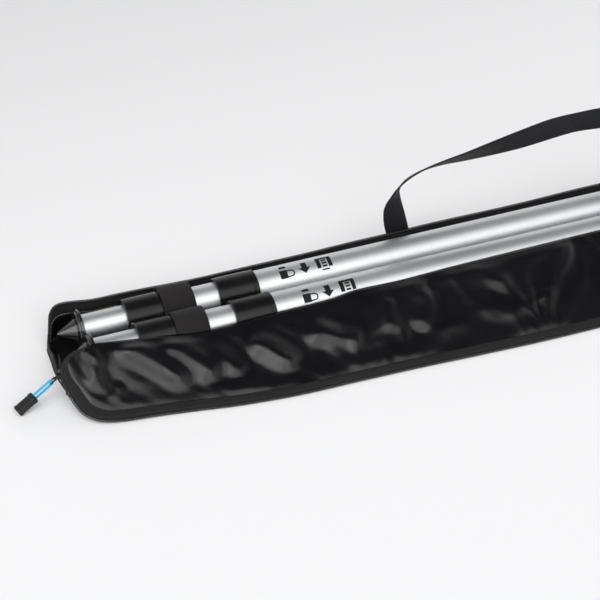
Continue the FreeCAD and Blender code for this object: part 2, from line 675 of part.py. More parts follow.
def build_pull(pivot):
    """Pull tab, cord loop and moulded grip, in line along the tilted pull."""
    aim = FreeCAD.Rotation(FreeCAD.Vector(0, 0, 1), size("pull_yaw").value)
    dip = FreeCAD.Rotation(FreeCAD.Vector(0, 1, 0), -size("pull_tilt").value)
    turn = aim.multiply(dip)
    reach = size("tab_reach")
    wide = size("tab_width") / 2
    thick = size("tab_thick") / 2
    bar = as_dim(0.45)
    hole_near = -reach + bar
    plate = block("TabPlate", -reach - bar, -2.4, -wide + 0.5, wide - 0.5, -thick, thick)
    eye = block("TabEye", hole_near, -reach + bar + 3.2, -1.25, 1.25, -2, 2)
    tab = combine("Cut", "TabCut", plate, eye)
    neck = block("TabNeck", -2.6, 0, -0.9, 0.9, -thick, thick)
    joined = combine("Fuse", "TabJoined", tab, neck)
    pin = put(rod("TabPin", as_dim(0.7), size("slider_width") - 0.6), 0,
              size("slider_width") / 2 - 0.3, 0,
              FreeCAD.Rotation(FreeCAD.Vector(1, 0, 0), 90))
    piece = combine("Fuse", "zip_pull_tab_piece", joined, pin)
    name_piece(put(piece, *pivot, turn), "zip_pull_tab")

    bend = size("cord_bend").value
    start = -size("cord_end").value
    back = -reach.value
    corners = [FreeCAD.Vector(start, 0, bend), FreeCAD.Vector(back, 0, bend),
               FreeCAD.Vector(back + bend, 0, 0), FreeCAD.Vector(back, 0, -bend),
               FreeCAD.Vector(start, 0, -bend)]
    route = Part.Wire([
        Part.LineSegment(corners[0], corners[1]).toShape(),
        Part.Arc(corners[1], corners[2], corners[3]).toShape(),
        Part.LineSegment(corners[3], corners[4]).toShape(),
    ])
    section = Part.Wire(Part.makeCircle(size("cord_dia").value / 2, corners[0],
                                        FreeCAD.Vector(1, 0, 0)))
    cord = DOC.addObject("Part::Feature", "pull_cord_piece")
    cord.Shape = route.makePipeShell([section], True, False)
    name_piece(put(cord, *pivot, turn), "pull_cord")
    area = math.pi * (size("cord_dia").value / 2) ** 2
    print("pull cord: bend radius %.2f mm, length %.2f mm, volume ratio %.4f"
          % (bend, route.Length, cord.Shape.Volume / (area * route.Length)))

    grip = new_body("pull_grip_body")
    sketch = new_sketch(grip, "XY_Plane")
    near = -size("cord_end")
    far = near - size("grip_length")
    side = size("grip_width") / 2
    polygon(sketch, [(near, -side + 0.8), (near, side - 0.8), (near - 1, side),
                     (far + 1, side), (far, side - 0.8), (far, -side + 0.8),
                     (far + 1, -side), (near - 1, -side)])
    pad(grip, sketch, size("grip_thick"), middle=True)
    name_piece(put(grip, *pivot, turn), "pull_grip")


def check_and_write():
    DOC.recompute()
    for thing in DOC.Objects:
        bad = [s for s in thing.State if s in ("Invalid", "Error")]
        if bad:
            raise RuntimeError("%s is %s" % (thing.Name, bad))
    os.makedirs("parts", exist_ok=True)
    for piece in PIECES:
        shape = piece.Shape
        if shape.isNull() or not shape.isValid() or shape.Volume <= 0:
            raise RuntimeError("%s has no valid shape" % piece.Label)
        shape.exportStep("parts/%s.step" % piece.Label)
    print("%d pieces written" % len(PIECES))


fill_sheet()
build_bottom()
build_walls()
build_lid()
half_pitch = size("pole_pitch") / 2
build_pole("pole_1_", half_pitch, as_dim(0), as_dim(0))
build_pole("pole_2_", -half_pitch, as_dim(2.25), as_dim(-0.4))
build_bands()
build_strap()
build_pull(build_slider())
check_and_write()
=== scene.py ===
"""Two telescopic poles in an opened zip case: the looks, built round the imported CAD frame."""

import math

import bpy
import numpy as np
from mathutils import Euler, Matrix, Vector
from mathutils.bvhtree import BVHTree
from mathutils.geometry import delaunay_2d_cdt


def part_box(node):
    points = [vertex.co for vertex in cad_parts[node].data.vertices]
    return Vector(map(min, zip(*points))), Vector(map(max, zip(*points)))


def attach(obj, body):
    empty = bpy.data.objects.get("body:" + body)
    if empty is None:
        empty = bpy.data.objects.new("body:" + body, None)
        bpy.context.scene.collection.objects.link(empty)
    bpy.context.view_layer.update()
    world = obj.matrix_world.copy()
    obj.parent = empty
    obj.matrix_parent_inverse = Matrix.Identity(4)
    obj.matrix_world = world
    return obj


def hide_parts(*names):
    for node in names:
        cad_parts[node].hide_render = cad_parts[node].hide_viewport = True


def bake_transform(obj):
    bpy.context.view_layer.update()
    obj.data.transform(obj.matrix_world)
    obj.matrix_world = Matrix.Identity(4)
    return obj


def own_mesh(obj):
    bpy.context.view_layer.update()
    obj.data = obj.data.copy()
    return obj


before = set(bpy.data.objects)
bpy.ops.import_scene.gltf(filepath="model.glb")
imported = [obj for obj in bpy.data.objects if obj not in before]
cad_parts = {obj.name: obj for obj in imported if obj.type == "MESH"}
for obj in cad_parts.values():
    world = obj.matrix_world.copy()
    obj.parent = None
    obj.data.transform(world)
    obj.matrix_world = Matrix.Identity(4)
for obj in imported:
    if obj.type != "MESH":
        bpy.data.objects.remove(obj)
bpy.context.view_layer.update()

MM = 0.001
rng = np.random.default_rng(7)

# ---------------- places, in mm, from the frame


def box_mm(node):
    """Lowest and highest corner of a CAD node."""
    low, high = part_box(node)
    return [c / MM for c in low], [c / MM for c in high]


def centre_mm(node):
    return [(a + b) / 2 for a, b in zip(*box_mm(node))]


NEAR = box_mm("base_shell")[0][1]
HALF, FAR, SHELL_TOP = box_mm("base_shell")[1]
LINING_TOP = box_mm("base_lining")[1][2]
AXIS_Y = {n: centre_mm("pole_%d_inner_tube" % n)[1] for n in (1, 2)}
AXIS_Z = centre_mm("pole_1_inner_tube")[2]
OUTER_RADIUS = 14.0
RIM = box_mm("far_zip_coil")[1][2]
TAPE_LOW, TAPE_HIGH = (corner[2] for corner in box_mm("far_zip_tape"))
COIL = RIM - TAPE_HIGH
TAPE = TAPE_HIGH - TAPE_LOW
SAG_TOP = box_mm("left_end_zip_coil")[1][2]
FAR_CORNER, NEAR_CORNER = 20.0, 4.0
PULL_PIVOT = (-475.2, -36.0, 22.0)
PULL_YAW, PULL_TILT = math.radians(12.0), math.radians(27.5)

# ---------------- small tools


def smooth(t):
    t = min(1.0, max(0.0, t))
    return t * t * (3 - 2 * t)


def eased(handles, at):
    """Value at a place, eased between (place, value) handles, flat outside them."""
    if at <= handles[0][0]:
        return handles[0][1]
    for (a, low), (b, high) in zip(handles, handles[1:]):
        if at <= b:
            return low + (high - low) * smooth((at - a) / (b - a))
    return handles[-1][1]


def hermite(p1, slope1, p2, slope2, t):
    """Cubic between two values, or two points, with the given slopes."""
    return ((2 * t**3 - 3 * t**2 + 1) * p1 + (t**3 - 2 * t**2 + t) * slope1
            + (-2 * t**3 + 3 * t**2) * p2 + (t**3 - t**2) * slope2)


def curve_through(handles, at):
    """Smooth value at a place through (place, value) handles, flat outside them."""
    if at <= handles[0][0]:
        return handles[0][1]
    if at >= handles[-1][0]:
        return handles[-1][1]
    i = next(k for k in range(len(handles) - 1) if at <= handles[k + 1][0])
    (x0, y0), (x1, y1) = handles[max(i - 1, 0)], handles[i]
    (x2, y2), (x3, y3) = handles[i + 1], handles[min(i + 2, len(handles) - 1)]
    span = x2 - x1
    return hermite(y1, (y2 - y0) / (x2 - x0) * span, y2, (y3 - y1) / (x3 - x1) * span,
                   (at - x1) / span)


def distances(points):
    """Distance of each point along the line through them all."""
    at = [0.0]
    for a, b in zip(points, points[1:]):
        at.append(at[-1] + (b - a).length)
    return at


def respaced(points, step):
    """The line through the points again, with even steps of about the given length."""
    at = distances(points)
    count = max(2, round(at[-1] / step) + 1)
    out, j = [], 0
    for i in range(count):
        want = at[-1] * i / (count - 1)
        while j < len(at) - 2 and at[j + 1] < want:
            j += 1
        span = max(at[j + 1] - at[j], 1e-12)
        out.append(points[j].lerp(points[j + 1], (want - at[j]) / span))
    return out


def round_path(points, step):
    """Evenly spaced points along a smooth curve through the given points."""
    pts = [Vector(p) for p in points]
    dense = []
    for i, (p1, p2) in enumerate(zip(pts, pts[1:])):
        p0, p3 = pts[max(i - 1, 0)], pts[min(i + 2, len(pts) - 1)]
        d1 = max((p2 - p1).length, 1e-9)
        d0 = max((p1 - p0).length, d1 * 0.2)
        d2 = max((p3 - p2).length, d1 * 0.2)
        slope1 = (p2 - p0) / (d0 + d1) * d1 if i > 0 else p2 - p1
        slope2 = (p3 - p1) / (d1 + d2) * d1 if i < len(pts) - 2 else p2 - p1
        n = max(2, int(d1 / step * 3))
        dense += [hermite(p1, slope1, p2, slope2, k / n) for k in range(n)]
    return respaced(dense + [pts[-1]], step)


def arc(x, y, radius, begin, end, count):
    """Points on part of a circle, between two angles in degrees."""
    turns = [math.radians(begin + (end - begin) * k / (count - 1)) for k in range(count)]
    return [(x + radius * math.cos(a), y + radius * math.sin(a)) for a in turns]


def run_at(points, i):
    """Step of a line past one of its points, as long as its neighbours are apart."""
    return points[min(i + 1, len(points) - 1)] - points[max(i - 1, 0)]


def add_object(name, data):
    thing = bpy.data.objects.new(name, data)
    bpy.context.scene.collection.objects.link(thing)
    return thing


def new_mesh(name, points, faces, uvs=None, mat=None):
    """Smooth-shaded piece from points in mm; uvs are one (u, v) per point, in mm."""
    mesh = bpy.data.meshes.new(name)
    mesh.from_pydata([tuple(Vector(p) * MM) for p in points], [], faces)
    if uvs is not None:
        layer = mesh.uv_layers.new(name="cloth")
        for loop in mesh.loops:
            layer.data[loop.index].uv = uvs[loop.vertex_index]
    mesh.polygons.foreach_set("use_smooth", [True] * len(mesh.polygons))
    if mat:
        mesh.materials.append(mat)
    return add_object(name, mesh)


def tube_faces(rings, around, start=0):
    """Faces of a tube through so many rings of points, closed by a cap at each end."""
    faces = []
    for i in range(rings - 1):
        for k in range(around):
            a, b = start + i * around + k, start + i * around + (k + 1) % around
            faces.append((a, b, b + around, a + around))
    last = start + (rings - 1) * around
    return faces + [tuple(range(start, start + around))[::-1], tuple(range(last, last + around))]


def grid_mesh(name, rows, mat, flip=False):
    """Sheet through rows of points, with its UVs measured along the cloth in mm."""
    grid = np.array([[tuple(p) for p in row] for row in rows])
    across = np.linalg.norm(np.diff(grid, axis=1), axis=2).mean(axis=0)
    along = np.linalg.norm(np.diff(grid, axis=0), axis=2).mean(axis=1)
    uvs = [(u, v) for v in (0.0, *np.cumsum(along)) for u in (0.0, *np.cumsum(across))]
    wide = len(rows[0])
    faces = []
    for r in range(len(rows) - 1):
        for a in range(r * wide, (r + 1) * wide - 1):
            quad = (a, a + 1, a + wide + 1, a + wide)
            faces.append(quad[::-1] if flip else quad)
    return new_mesh(name, [p for row in rows for p in row], faces, uvs, mat)


class Track:
    """A line in space with, at each point, a sideways and an upward direction."""

    def __init__(self, points, sides, ups):
        self.points = [Vector(p) for p in points]
        self.sides = [Vector(s).normalized() for s in sides]
        self.ups = [Vector(u).normalized() for u in ups]
        self.at = distances(self.points)
        self.length = self.at[-1]

    def cut(self, begin, end=None):
        return Track(self.points[begin:end], self.sides[begin:end], self.ups[begin:end])

    def frame(self, s):
        """Point, sideways and upward direction at a distance along the line."""
        s = min(max(s, 0.0), self.length)
        i = min(max(int(np.searchsorted(self.at, s)) - 1, 0), len(self.at) - 2)
        t = (s - self.at[i]) / max(self.at[i + 1] - self.at[i], 1e-9)
        point = self.points[i].lerp(self.points[i + 1], t)
        side = self.sides[i].lerp(self.sides[i + 1], t).normalized()
        up = self.ups[i].lerp(self.ups[i + 1], t).normalized()
        return point, side, up

    def spot(self, s, side, up):
        p, a, b = self.frame(s)
        return p + a * side + b * up

    def along(self, s):
        return (self.frame(s + 0.5)[0] - self.frame(s - 0.5)[0]).normalized()


def strip_mesh(name, track, profile, step=3.0):
    """Tape along a track; profile(s) is its ring there, as (side, up, mm across the cloth)."""
    count = max(2, round(track.length / step) + 1)
    points, uvs = [], []
    for i in range(count):
        s = track.length * i / (count - 1)
        ring = profile(s)
        for side, up, across in ring:
            points.append(track.spot(s, side, up))
            uvs.append((s, across))
    return new_mesh(name, points, tube_faces(count, len(ring)), uvs, TAPE_CLOTH)


def coil_mesh(name, track, side=0.0, up=0.0, half_side=1.05, half_up=1.1, wire=0.42):
    """Zip coil: one filament wound along a track."""
    pitch, per_turn, around = 2.0, 9, 5
    centre, points, uvs = [], [], []
    for i in range(int(track.length / pitch) * per_turn + 1):
        a = 2 * math.pi * i / per_turn
        s = i / per_turn * pitch + 0.35 * pitch * math.sin(a)
        centre.append(track.spot(min(s, track.length), side + half_side * math.cos(a),
                                 up + half_up * math.sin(a)))
    for i, p in enumerate(centre):
        ahead = run_at(centre, i).normalized()
        across = ahead.cross(track.along(min(i / per_turn * pitch, track.length))).normalized()
        over = ahead.cross(across).normalized()
        for k in range(around):
            b = 2 * math.pi * k / around
            points.append(p + (across * math.cos(b) + over * math.sin(b)) * wire)
            uvs.append((i * 0.5, k * 0.5))
    return new_mesh(name, points, tube_faces(len(centre), around), uvs, COIL_NYLON)


def stitch_mesh(name, track, mat, side, up, pitch=3.0, long=2.1, into=(0, 1)):
    """Row of stitches along a track, side(s) mm beside it: short bars whose ends dip in."""
    thick, around = 0.28, 6
    rings = ((-0.5, 0.35, -0.25), (-0.3, 0.9, 0.0), (0.0, 1.0, 0.06), (0.3, 0.9, 0.0),
             (0.5, 0.35, -0.25))
    points, faces = [], []
    for i in range(int(track.length / pitch)):
        faces += tube_faces(len(rings), around, len(points))
        for along, scale, dip in rings:
            s = (i + 0.5) * pitch + along * long
            p, a, b = track.frame(s)
            core = p + a * (side(s) + dip * into[0]) + b * (up + dip * into[1])
            for k in range(around):
                turn = 2 * math.pi * k / around
                points.append(core + (a * math.cos(turn) + b * math.sin(turn)) * thick * scale)
    return new_mesh(name, points, faces, None, mat)


def finish_piece(thing, body, replaces=()):
    """Fixes a finished piece to its body and the nodes it stands for."""
    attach(thing, body)
    if replaces:
        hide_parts(*replaces)
    return thing


# ---------------- materials

# A wave texture this dense has one band per millimetre of cloth.
BANDS = 0.318


class Nodes:
    """Short ways to add nodes to a tree. An input is given as a number, a tuple or a socket."""

    def __init__(self, owner):
        owner.use_nodes = True
        self.tree = owner.node_tree

    def feed(self, node, inputs):
        for name, value in inputs.items():
            socket = node.inputs[name.replace("_", " ") if isinstance(name, str) else name]
            if isinstance(value, bpy.types.NodeSocket):
                self.tree.links.new(value, socket)
            else:
                socket.default_value = value

    def add(self, kind, settings=(), **inputs):
        node = self.tree.nodes.new("ShaderNode" + kind)
        for name, value in settings:
            setattr(node, name, value)
        self.feed(node, inputs)
        return node

    def paint(self, **inputs):
        """Sets the inputs of the material's own shader."""
        self.feed(self.tree.nodes["Principled BSDF"], inputs)

    def place(self, scale, on_cloth=False):
        """Texture place times scale: along the cloth in mm, or in the part's own metres."""
        if on_cloth:
            source = self.add("UVMap", [("uv_map", "cloth")]).outputs["UV"]
        else:
            source = self.add("TexCoord").outputs["Object"]
        scale = scale if isinstance(scale, tuple) else (scale,) * 3
        return self.add("Mapping", Vector=source, Scale=scale).outputs["Vector"]

    def noise(self, vector, detail=3.0, rough=0.5):
        return self.add("TexNoise", Vector=vector, Scale=1.0, Detail=detail,
                        Roughness=rough).outputs["Fac"]

    def threads(self, vector, direction):
        return self.add("TexWave", [("bands_direction", direction)], Vector=vector, Scale=1.0,
                        Distortion=0.6, Detail_Scale=0.7).outputs["Fac"]

    def ramp(self, value, low, high, *colours):
        """Colour between two colours as a value goes from low to high."""
        node = self.add("ValToRGB", Fac=value)
        for element, at, colour in zip(node.color_ramp.elements, (low, high), colours):
            element.position = at
            element.color = (*colour, 1)
        return node.outputs["Color"]

    def spread(self, value, low, high):
        return self.add("MapRange", Value=value, To_Min=low, To_Max=high).outputs["Result"]

    def calc(self, operation, a, b, kind="Math"):
        node = self.add(kind, [("operation", operation)])
        self.feed(node, {0: a, 1: b})
        return node.outputs["Value" if operation == "DOT_PRODUCT" else 0]

    def bump(self, *layers):
        """Normal after bump layers of (height, depth in mm), one over the other."""
        last = {}
        for height, depth in layers:
            node = self.add("Bump", Distance=depth * MM, Height=height, **last)
            last = {"Normal": node.outputs["Normal"]}
        return last["Normal"]


def cloth(name, dark, light, rough, thread, depth, crease=None, sheen=0.0, rib=0.0, shine=0.5):
    """Woven cloth: threads every so many mm, uneven dye, creases (size, depth) and sheen."""
    mat = bpy.data.materials.new(name)
    kit = Nodes(mat)
    weave = kit.place(BANDS / thread, True)
    layers = [(kit.calc("MAXIMUM", kit.threads(weave, "X"), kit.threads(weave, "Y")), depth)]
    if rib:
        ribs = kit.place((0.0, BANDS / rib, 0.0), True)
        layers.append((kit.threads(ribs, "Y"), depth * 2.5))
    if crease:
        size, tall = crease
        layers.append((kit.noise(kit.place(1 / size, True), 3.0, 0.45), tall))
    cloudy = kit.noise(kit.place(0.03, True), 4.0)
    fine = kit.noise(kit.place(0.9, True), 2.0)
    dye = kit.calc("ADD", kit.calc("MULTIPLY", cloudy, 0.6), kit.calc("MULTIPLY", fine, 0.4))
    kit.paint(Base_Color=kit.ramp(dye, 0.3, 0.7, dark, light), Normal=kit.bump(*layers),
              Roughness=kit.spread(cloudy, rough - 0.06, rough + 0.06),
              Specular_IOR_Level=shine, Sheen_Weight=sheen, Sheen_Roughness=0.45)
    return mat


def moulding(name, dark, light, rough, grain=0.01, metallic=0.0, shine=0.5):
    """Moulded plastic, rubber or coated metal, with a fine grain and slightly uneven gloss."""
    mat = bpy.data.materials.new(name)
    kit = Nodes(mat)
    wide = kit.noise(kit.place(60.0))
    fine = kit.noise(kit.place(1600.0), 2.0)
    kit.paint(Base_Color=kit.ramp(wide, 0.3, 0.7, dark, light), Normal=kit.bump((fine, grain)),
              Roughness=kit.spread(wide, rough - 0.05, rough + 0.05), Metallic=metallic,
              Specular_IOR_Level=shine)
    return mat


def anodised(name):
    """Satin silver tube: a drawn grain along X under a matt anodised skin."""
    mat = bpy.data.materials.new(name)
    kit = Nodes(mat)
    drawn = kit.noise(kit.place((12, 2600, 2600)))
    cloudy = kit.noise(kit.place((22, 60, 60)), 4.0)
    kit.paint(Base_Color=kit.ramp(cloudy, 0.25, 0.75, (0.68, 0.69, 0.71), (0.74, 0.75, 0.77)),
              Roughness=kit.spread(drawn, 0.43, 0.51), Metallic=1.0,
              Normal=kit.bump((drawn, 0.003), (cloudy, 0.01)))
    return mat


def braided(name):
    """Cyan cord with a crossed braid, its grooves darkened with painted shade."""
    mat = bpy.data.materials.new(name)
    kit = Nodes(mat)
    braid = kit.calc("MAXIMUM", *(kit.threads(kit.place((900, turn, 900)), "DIAGONAL")
                                  for turn in (900, -900)))
    # Painted shade: the colour follows the braid's height, dark blue down in the grooves and
    # bright cyan on the crests.
    kit.paint(Base_Color=kit.ramp(braid, 0.2, 0.9, (0.0, 0.22, 0.46), (0.02, 0.50, 0.78)),
              Roughness=0.55, Normal=kit.bump((braid, 0.12)))
    return mat


def grey(level, blue=None):
    return (level, level, level if blue is None else blue)


SHELL_CLOTH = cloth("shell_cloth", grey(0.006, 0.007), grey(0.011, 0.012), 0.66, 0.55, 0.06,
                    crease=(14, 0.25), sheen=0.03, shine=0.22)
LINING_CLOTH = cloth("lining_cloth", grey(0.003, 0.0035), grey(0.0055, 0.0065), 0.24, 0.28,
                     0.006, crease=(8, 0.14), shine=0.42)
TAPE_CLOTH = cloth("tape_cloth", grey(0.009, 0.0085), grey(0.017, 0.016), 0.74, 0.6, 0.05,
                   sheen=0.04, rib=1.2, shine=0.2)
BAND_CLOTH = cloth("band_cloth", (0.008, 0.007, 0.007), (0.016, 0.014, 0.014), 0.8, 0.55,
                   0.05, sheen=0.06, rib=0.9, shine=0.2)
WEBBING = cloth("webbing", grey(0.004, 0.005), grey(0.010, 0.012), 0.55, 0.9, 0.12,
                sheen=0.03, rib=1.7, shine=0.25)
THREAD = moulding("thread", grey(0.016), grey(0.03), 0.6, grain=0.02)
PALE_THREAD = moulding("pale_thread", grey(0.20), grey(0.32, 0.31), 0.45, grain=0.02)
COIL_NYLON = moulding("coil_nylon", grey(0.006), grey(0.013), 0.25, shine=0.6)
FOAM = moulding("foam_sheet", grey(0.03), grey(0.06), 0.9, grain=0.12)
ZINC = moulding("coated_zinc", grey(0.012), grey(0.03), 0.33, metallic=0.4)
GRIP = moulding("grip_rubber", grey(0.007, 0.0075), grey(0.013, 0.0135), 0.42, grain=0.03,
                shine=0.3)
COLLAR = moulding("collar_gloss", grey(0.004, 0.0045), grey(0.007, 0.0075), 0.27, grain=0.006,
                  shine=0.27)
TIP = moulding("tip_gloss", grey(0.005, 0.0055), grey(0.008, 0.009), 0.19, grain=0.004,
               shine=1.0)
NATURAL_NYLON = moulding("natural_nylon", (0.62, 0.61, 0.57), (0.72, 0.71, 0.67), 0.45)
DARK_NYLON = moulding("dark_nylon", grey(0.05, 0.055), grey(0.09, 0.095), 0.42)
RUBBER = moulding("foot_rubber", grey(0.014), grey(0.026), 0.68, grain=0.05)
INK = moulding("printed_ink", grey(0.005), grey(0.009), 0.5, grain=0.004, shine=0.2)
ALUMINIUM = anodised("anodised_aluminium")
CORD = braided("cord_braid")


# ---------------- stage, light and camera


def make_stage():
    """Pale floor, darker towards the back in painted shade that stands for the light's falloff, a
    sky with two glows in it, and a soft sun.
    """
    wide = 9000
    corners = [(-wide, -wide, 0), (wide, -wide, 0), (wide, wide, 0), (-wide, wide, 0)]
    paint = bpy.data.materials.new("floor_painted_falloff")
    kit = Nodes(paint)
    across = kit.add("SeparateXYZ", Vector=kit.place(1.0)).outputs["Y"]
    # Painted shade: the floor's colour darkens from front to back in place of the light falling
    # off.
    kit.paint(Base_Color=kit.ramp(across, -0.75, 0.70, grey(0.85, 0.855), grey(0.63, 0.635)),
              Roughness=0.6, Specular_IOR_Level=0.2)
    new_mesh("floor", corners, [(0, 1, 2, 3)], mat=paint)

    world = bpy.data.worlds.new("studio")
    kit = Nodes(world)
    towards = kit.add("TexCoord").outputs["Generated"]
    height = kit.add("SeparateXYZ", Vector=towards).outputs["Z"]
    sky = kit.ramp(height, 0.46, 0.84, grey(0.88, 0.89), grey(0.05, 0.055))
    for centre, begin, full, bright in (((-0.10, -0.66, 0.745), 0.82, 0.91, 1.9),
                                        ((-0.86, -0.28, 0.42), 0.88, 0.94, 1.5)):
        near = kit.calc("DOT_PRODUCT", towards, centre, "VectorMath")
        glow = kit.ramp(near, begin, full, grey(0), grey(bright))
        sky = kit.calc("ADD", sky, glow, "VectorMath")
    kit.feed(kit.tree.nodes["Background"], {"Color": sky, "Strength": 1.04})
    bpy.context.scene.world = world

    lamp = bpy.data.lights.new("soft_sun", "SUN")
    lamp.energy = 0.75
    lamp.angle = math.radians(40)
    sun = add_object("soft_sun", lamp)
    sun.rotation_euler = Vector((0.45, 0.25, -0.86)).to_track_quat("-Z", "Y").to_euler()


def make_camera():
    data = bpy.data.cameras.new("photo_angle")
    data.lens = 131.9
    data.sensor_width = 36.0
    data.clip_start = 0.05
    data.clip_end = 60
    camera = add_object("photo_angle", data)
    camera.location = (-0.7812, -1.3188, 1.0731)
    camera.rotation_euler = Euler((math.radians(90 - 36.85), 0, math.radians(-21.46)), "XYZ")
    bpy.context.scene.camera = camera
    bpy.context.scene.view_settings.view_transform = "Standard"


# ---------------- hard parts that stay CAD


def repaint(node, mat, bevel=0.0):
    """Gives a CAD node its look and, where asked, rounded edges of so many mm."""
    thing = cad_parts[node]
    thing.data.materials.clear()
    thing.data.materials.append(mat)
    if bevel:
        edge = thing.modifiers.new("edge", "BEVEL")
        edge.width = bevel * MM
        edge.segments = 2
        edge.limit_method = "ANGLE"
        edge.angle_limit = math.radians(40)



def dress_poles():
    """Looks of both poles, of the foam and of the metal parts of the zip."""
    for n in (1, 2):
        pole = "pole_%d_" % n
        for tube in ("outer_tube", "mid_tube", "inner_tube"):
            repaint(pole + tube, ALUMINIUM)
        for collar in ("upper_collar", "lower_collar"):
            repaint(pole + collar, COLLAR, 0.25)
        for tip in ("tip_plug", "tip_cone"):
            repaint(pole + tip, TIP, 0.3)
        repaint(pole + "foot_cap", RUBBER, 0.6)
        for lock in ("upper_lock", "lower_lock"):
            repaint(pole + lock + "_jaw", NATURAL_NYLON)
            repaint(pole + lock + "_screw", DARK_NYLON)
    repaint("base_foam", FOAM)
    repaint("zip_slider", ZINC, 0.35)
    repaint("zip_pull_tab", ZINC, 0.15)
    repaint("zip_end_stop", ZINC, 0.2)


# ---------------- case


RIM_RISE = [(-451, 4.6), (-420, 1.2), (-325, -1.3), (-250, -2.4), (-190, -0.9), (-110, -0.3),
            (24, 0.1), (190, -1.1), (330, -0.6), (420, 0.4), (451, 1.6)]


def case_outline():
    """Plan of the case wall from the near-left corner round by the far side to the near right."""
    r, q, belly = FAR_CORNER, NEAR_CORNER, 2.6
    points = []
    for k in range(7):
        tuck = q * (1 - math.sin(math.pi / 2 * (1 - k / 6)))
        points.append((-HALF + tuck, NEAR + tuck))
    for k in range(1, 12):
        t = k / 12
        bow = belly * math.sin(math.pi * t) ** 1.5 * (1 - 0.55 * t)
        points.append((-HALF - bow, NEAR + q + (FAR - r - NEAR - q) * t))
    points += arc(-HALF + r, FAR - r, r, 180, 90, 9)
    for k in range(1, 40):
        x = -HALF + r + 2 * (HALF - r) * k / 40
        points.append((x, FAR + 0.5 * math.sin(x * 0.021) + 0.4 * math.sin(x * 0.047 + 1)))
    points += arc(HALF - r, FAR - r, r, 90, 0, 9)
    points += arc(HALF - q, NEAR + q, q, 0, -90, 7)
    return round_path([(x, y, 0) for x, y in points], 3.0)


def outward(points):
    """Sideways direction, away from the case, at each point of the outline."""
    runs = [run_at(points, i) for i in range(len(points))]
    return [Vector((-run.y, run.x, 0)).normalized() for run in runs]


def under_tubes(y, top, reach, gap):
    """Height across the left end, lowered where a tube of that reach passes over it."""
    for n in (1, 2):
        off = abs(y - AXIS_Y[n])
        if off < reach:
            top = min(top, AXIS_Z - math.sqrt(reach ** 2 - off * off) - gap)
    return top


def rim_height(p):
    """Top of the zip coil at a point of the outline; it sags across the left end."""
    full = RIM + eased(RIM_RISE, p.x)
    if p.x >= -HALF + FAR_CORNER + 6:
        return full
    climb = (p.y - 12) * 0.9 + (p.x + HALF)
    top = SAG_TOP + (full - SAG_TOP) * smooth(climb / 36)
    return under_tubes(p.y, top, 13.4 + 1.9 * smooth((p.y - AXIS_Y[1]) / 10), 0.2)


def wall_lean(z, top):
    """How far the padded wall bulges out at a height."""
    t = min(max(z / max(top, 1), 0), 1)
    return 0.9 * math.sin(math.pi * t) - 1.4 * (1 - t) ** 6


def make_case_shell(outline, sides):
    """Outer fabric: up the padded wall and down inside it, and the flat bottom."""
    tops = [max(rim_height(p) - COIL - TAPE + 1.0, SHELL_TOP + 0.4) for p in outline]
    shares = [k / 8 for k in range(9)]
    foot = 0.05

    def wall_row(height, inset):
        row = []
        for p, side, top in zip(outline, sides, tops):
            z = height(top)
            row.append(p + side * (wall_lean(z, top) - inset) + Vector((0, 0, z)))
        return row

    rows = [wall_row(lambda top: foot + (top - foot) * t ** 1.3, 0.2) for t in shares]
    rows += [wall_row(lambda top: top - (top - SHELL_TOP) * t, 1.7) for t in shares]
    shell = grid_mesh("case_shell", rows, SHELL_CLOTH)
    finish_piece(shell, "case", ("far_wall", "right_end_wall"))

    plan = [p - s * 0.9 for p, s in zip(outline, sides)]
    count = len(plan)
    points = [(p.x, p.y, z) for z in (0.0, SHELL_TOP - 0.1) for p in plan]
    faces = [tuple(range(count)), tuple(range(2 * count - 1, count - 1, -1))]
    faces += [(i, i + count, (i + 1) % count + count, (i + 1) % count) for i in range(count)]
    panel = new_mesh("case_bottom", points, faces, [p[:2] for p in points], SHELL_CLOTH)
    panel.data.polygons.foreach_set("use_smooth", [False] * len(panel.data.polygons))
    finish_piece(panel, "case", ("base_shell",))


# ---------------- lid


# Crest of the fold between case and lid, as (x, y, z).
RIDGE = [(-466, -25.5, 37.0), (-451, -24.0, 36.2), (-422, -26.3, 34.2), (-390, -29.0, 31.6),
         (-356, -31.5, 28.2), (-296, -30.8, 29.2), (-249, -30.4, 29.7), (-227, -29.0, 31.7),
         (-188, -29.4, 31.2), (-144, -28.6, 32.0), (-63, -28.0, 32.7), (40, -27.6, 33.1),
         (160, -28.6, 32.1), (300, -29.4, 31.2), (420, -29.0, 31.6), (466, -28.8, 31.8)]
# Free edge of the lid as (x, y): the stretch that its plan and its slope share, then both.
LONG_EDGE = [(-380, -90.6), (-350, -96.0), (-303, -101.0), (-253, -102.3), (-203, -104.0),
             (-153, -106.6), (-102, -108.8), (-50, -109.4), (50, -108.6), (200, -107.0),
             (350, -105.6)]
LID_EDGE = [(-476, -84.5), (-436, -84.8), (-420, -86.2), (-403, -87.6), *LONG_EDGE,
            (476, -104.6)]
LID_OUTLINE = [(-450.5, -24.5), (-460, -26.0), (-468.5, -29.8), (-473.0, -35.0), (-474.6, -42.5),
               (-474.0, -51.0), (-471.2, -60.5), (-466.8, -69.5), (-459.5, -75.8),
               (-449.5, -80.0), (-436, -82.6), (-420, -84.6), (-403, -86.8), *LONG_EDGE,
               (436, -104.4), (455, -99.5), (465.5, -87.0), (468, -70), (467.6, -50),
               (466, -38), (460, -31.5), (450, -28.5)]
EDGE_LIFT = 1.6
SEAM_Y = -45.0
FOLD_SCALE = 1.3


def ridge_at(x):
    """Place across the case, and height, of the fold's crest."""
    return [curve_through([(row[0], row[k]) for row in RIDGE], x) for k in (1, 2)]


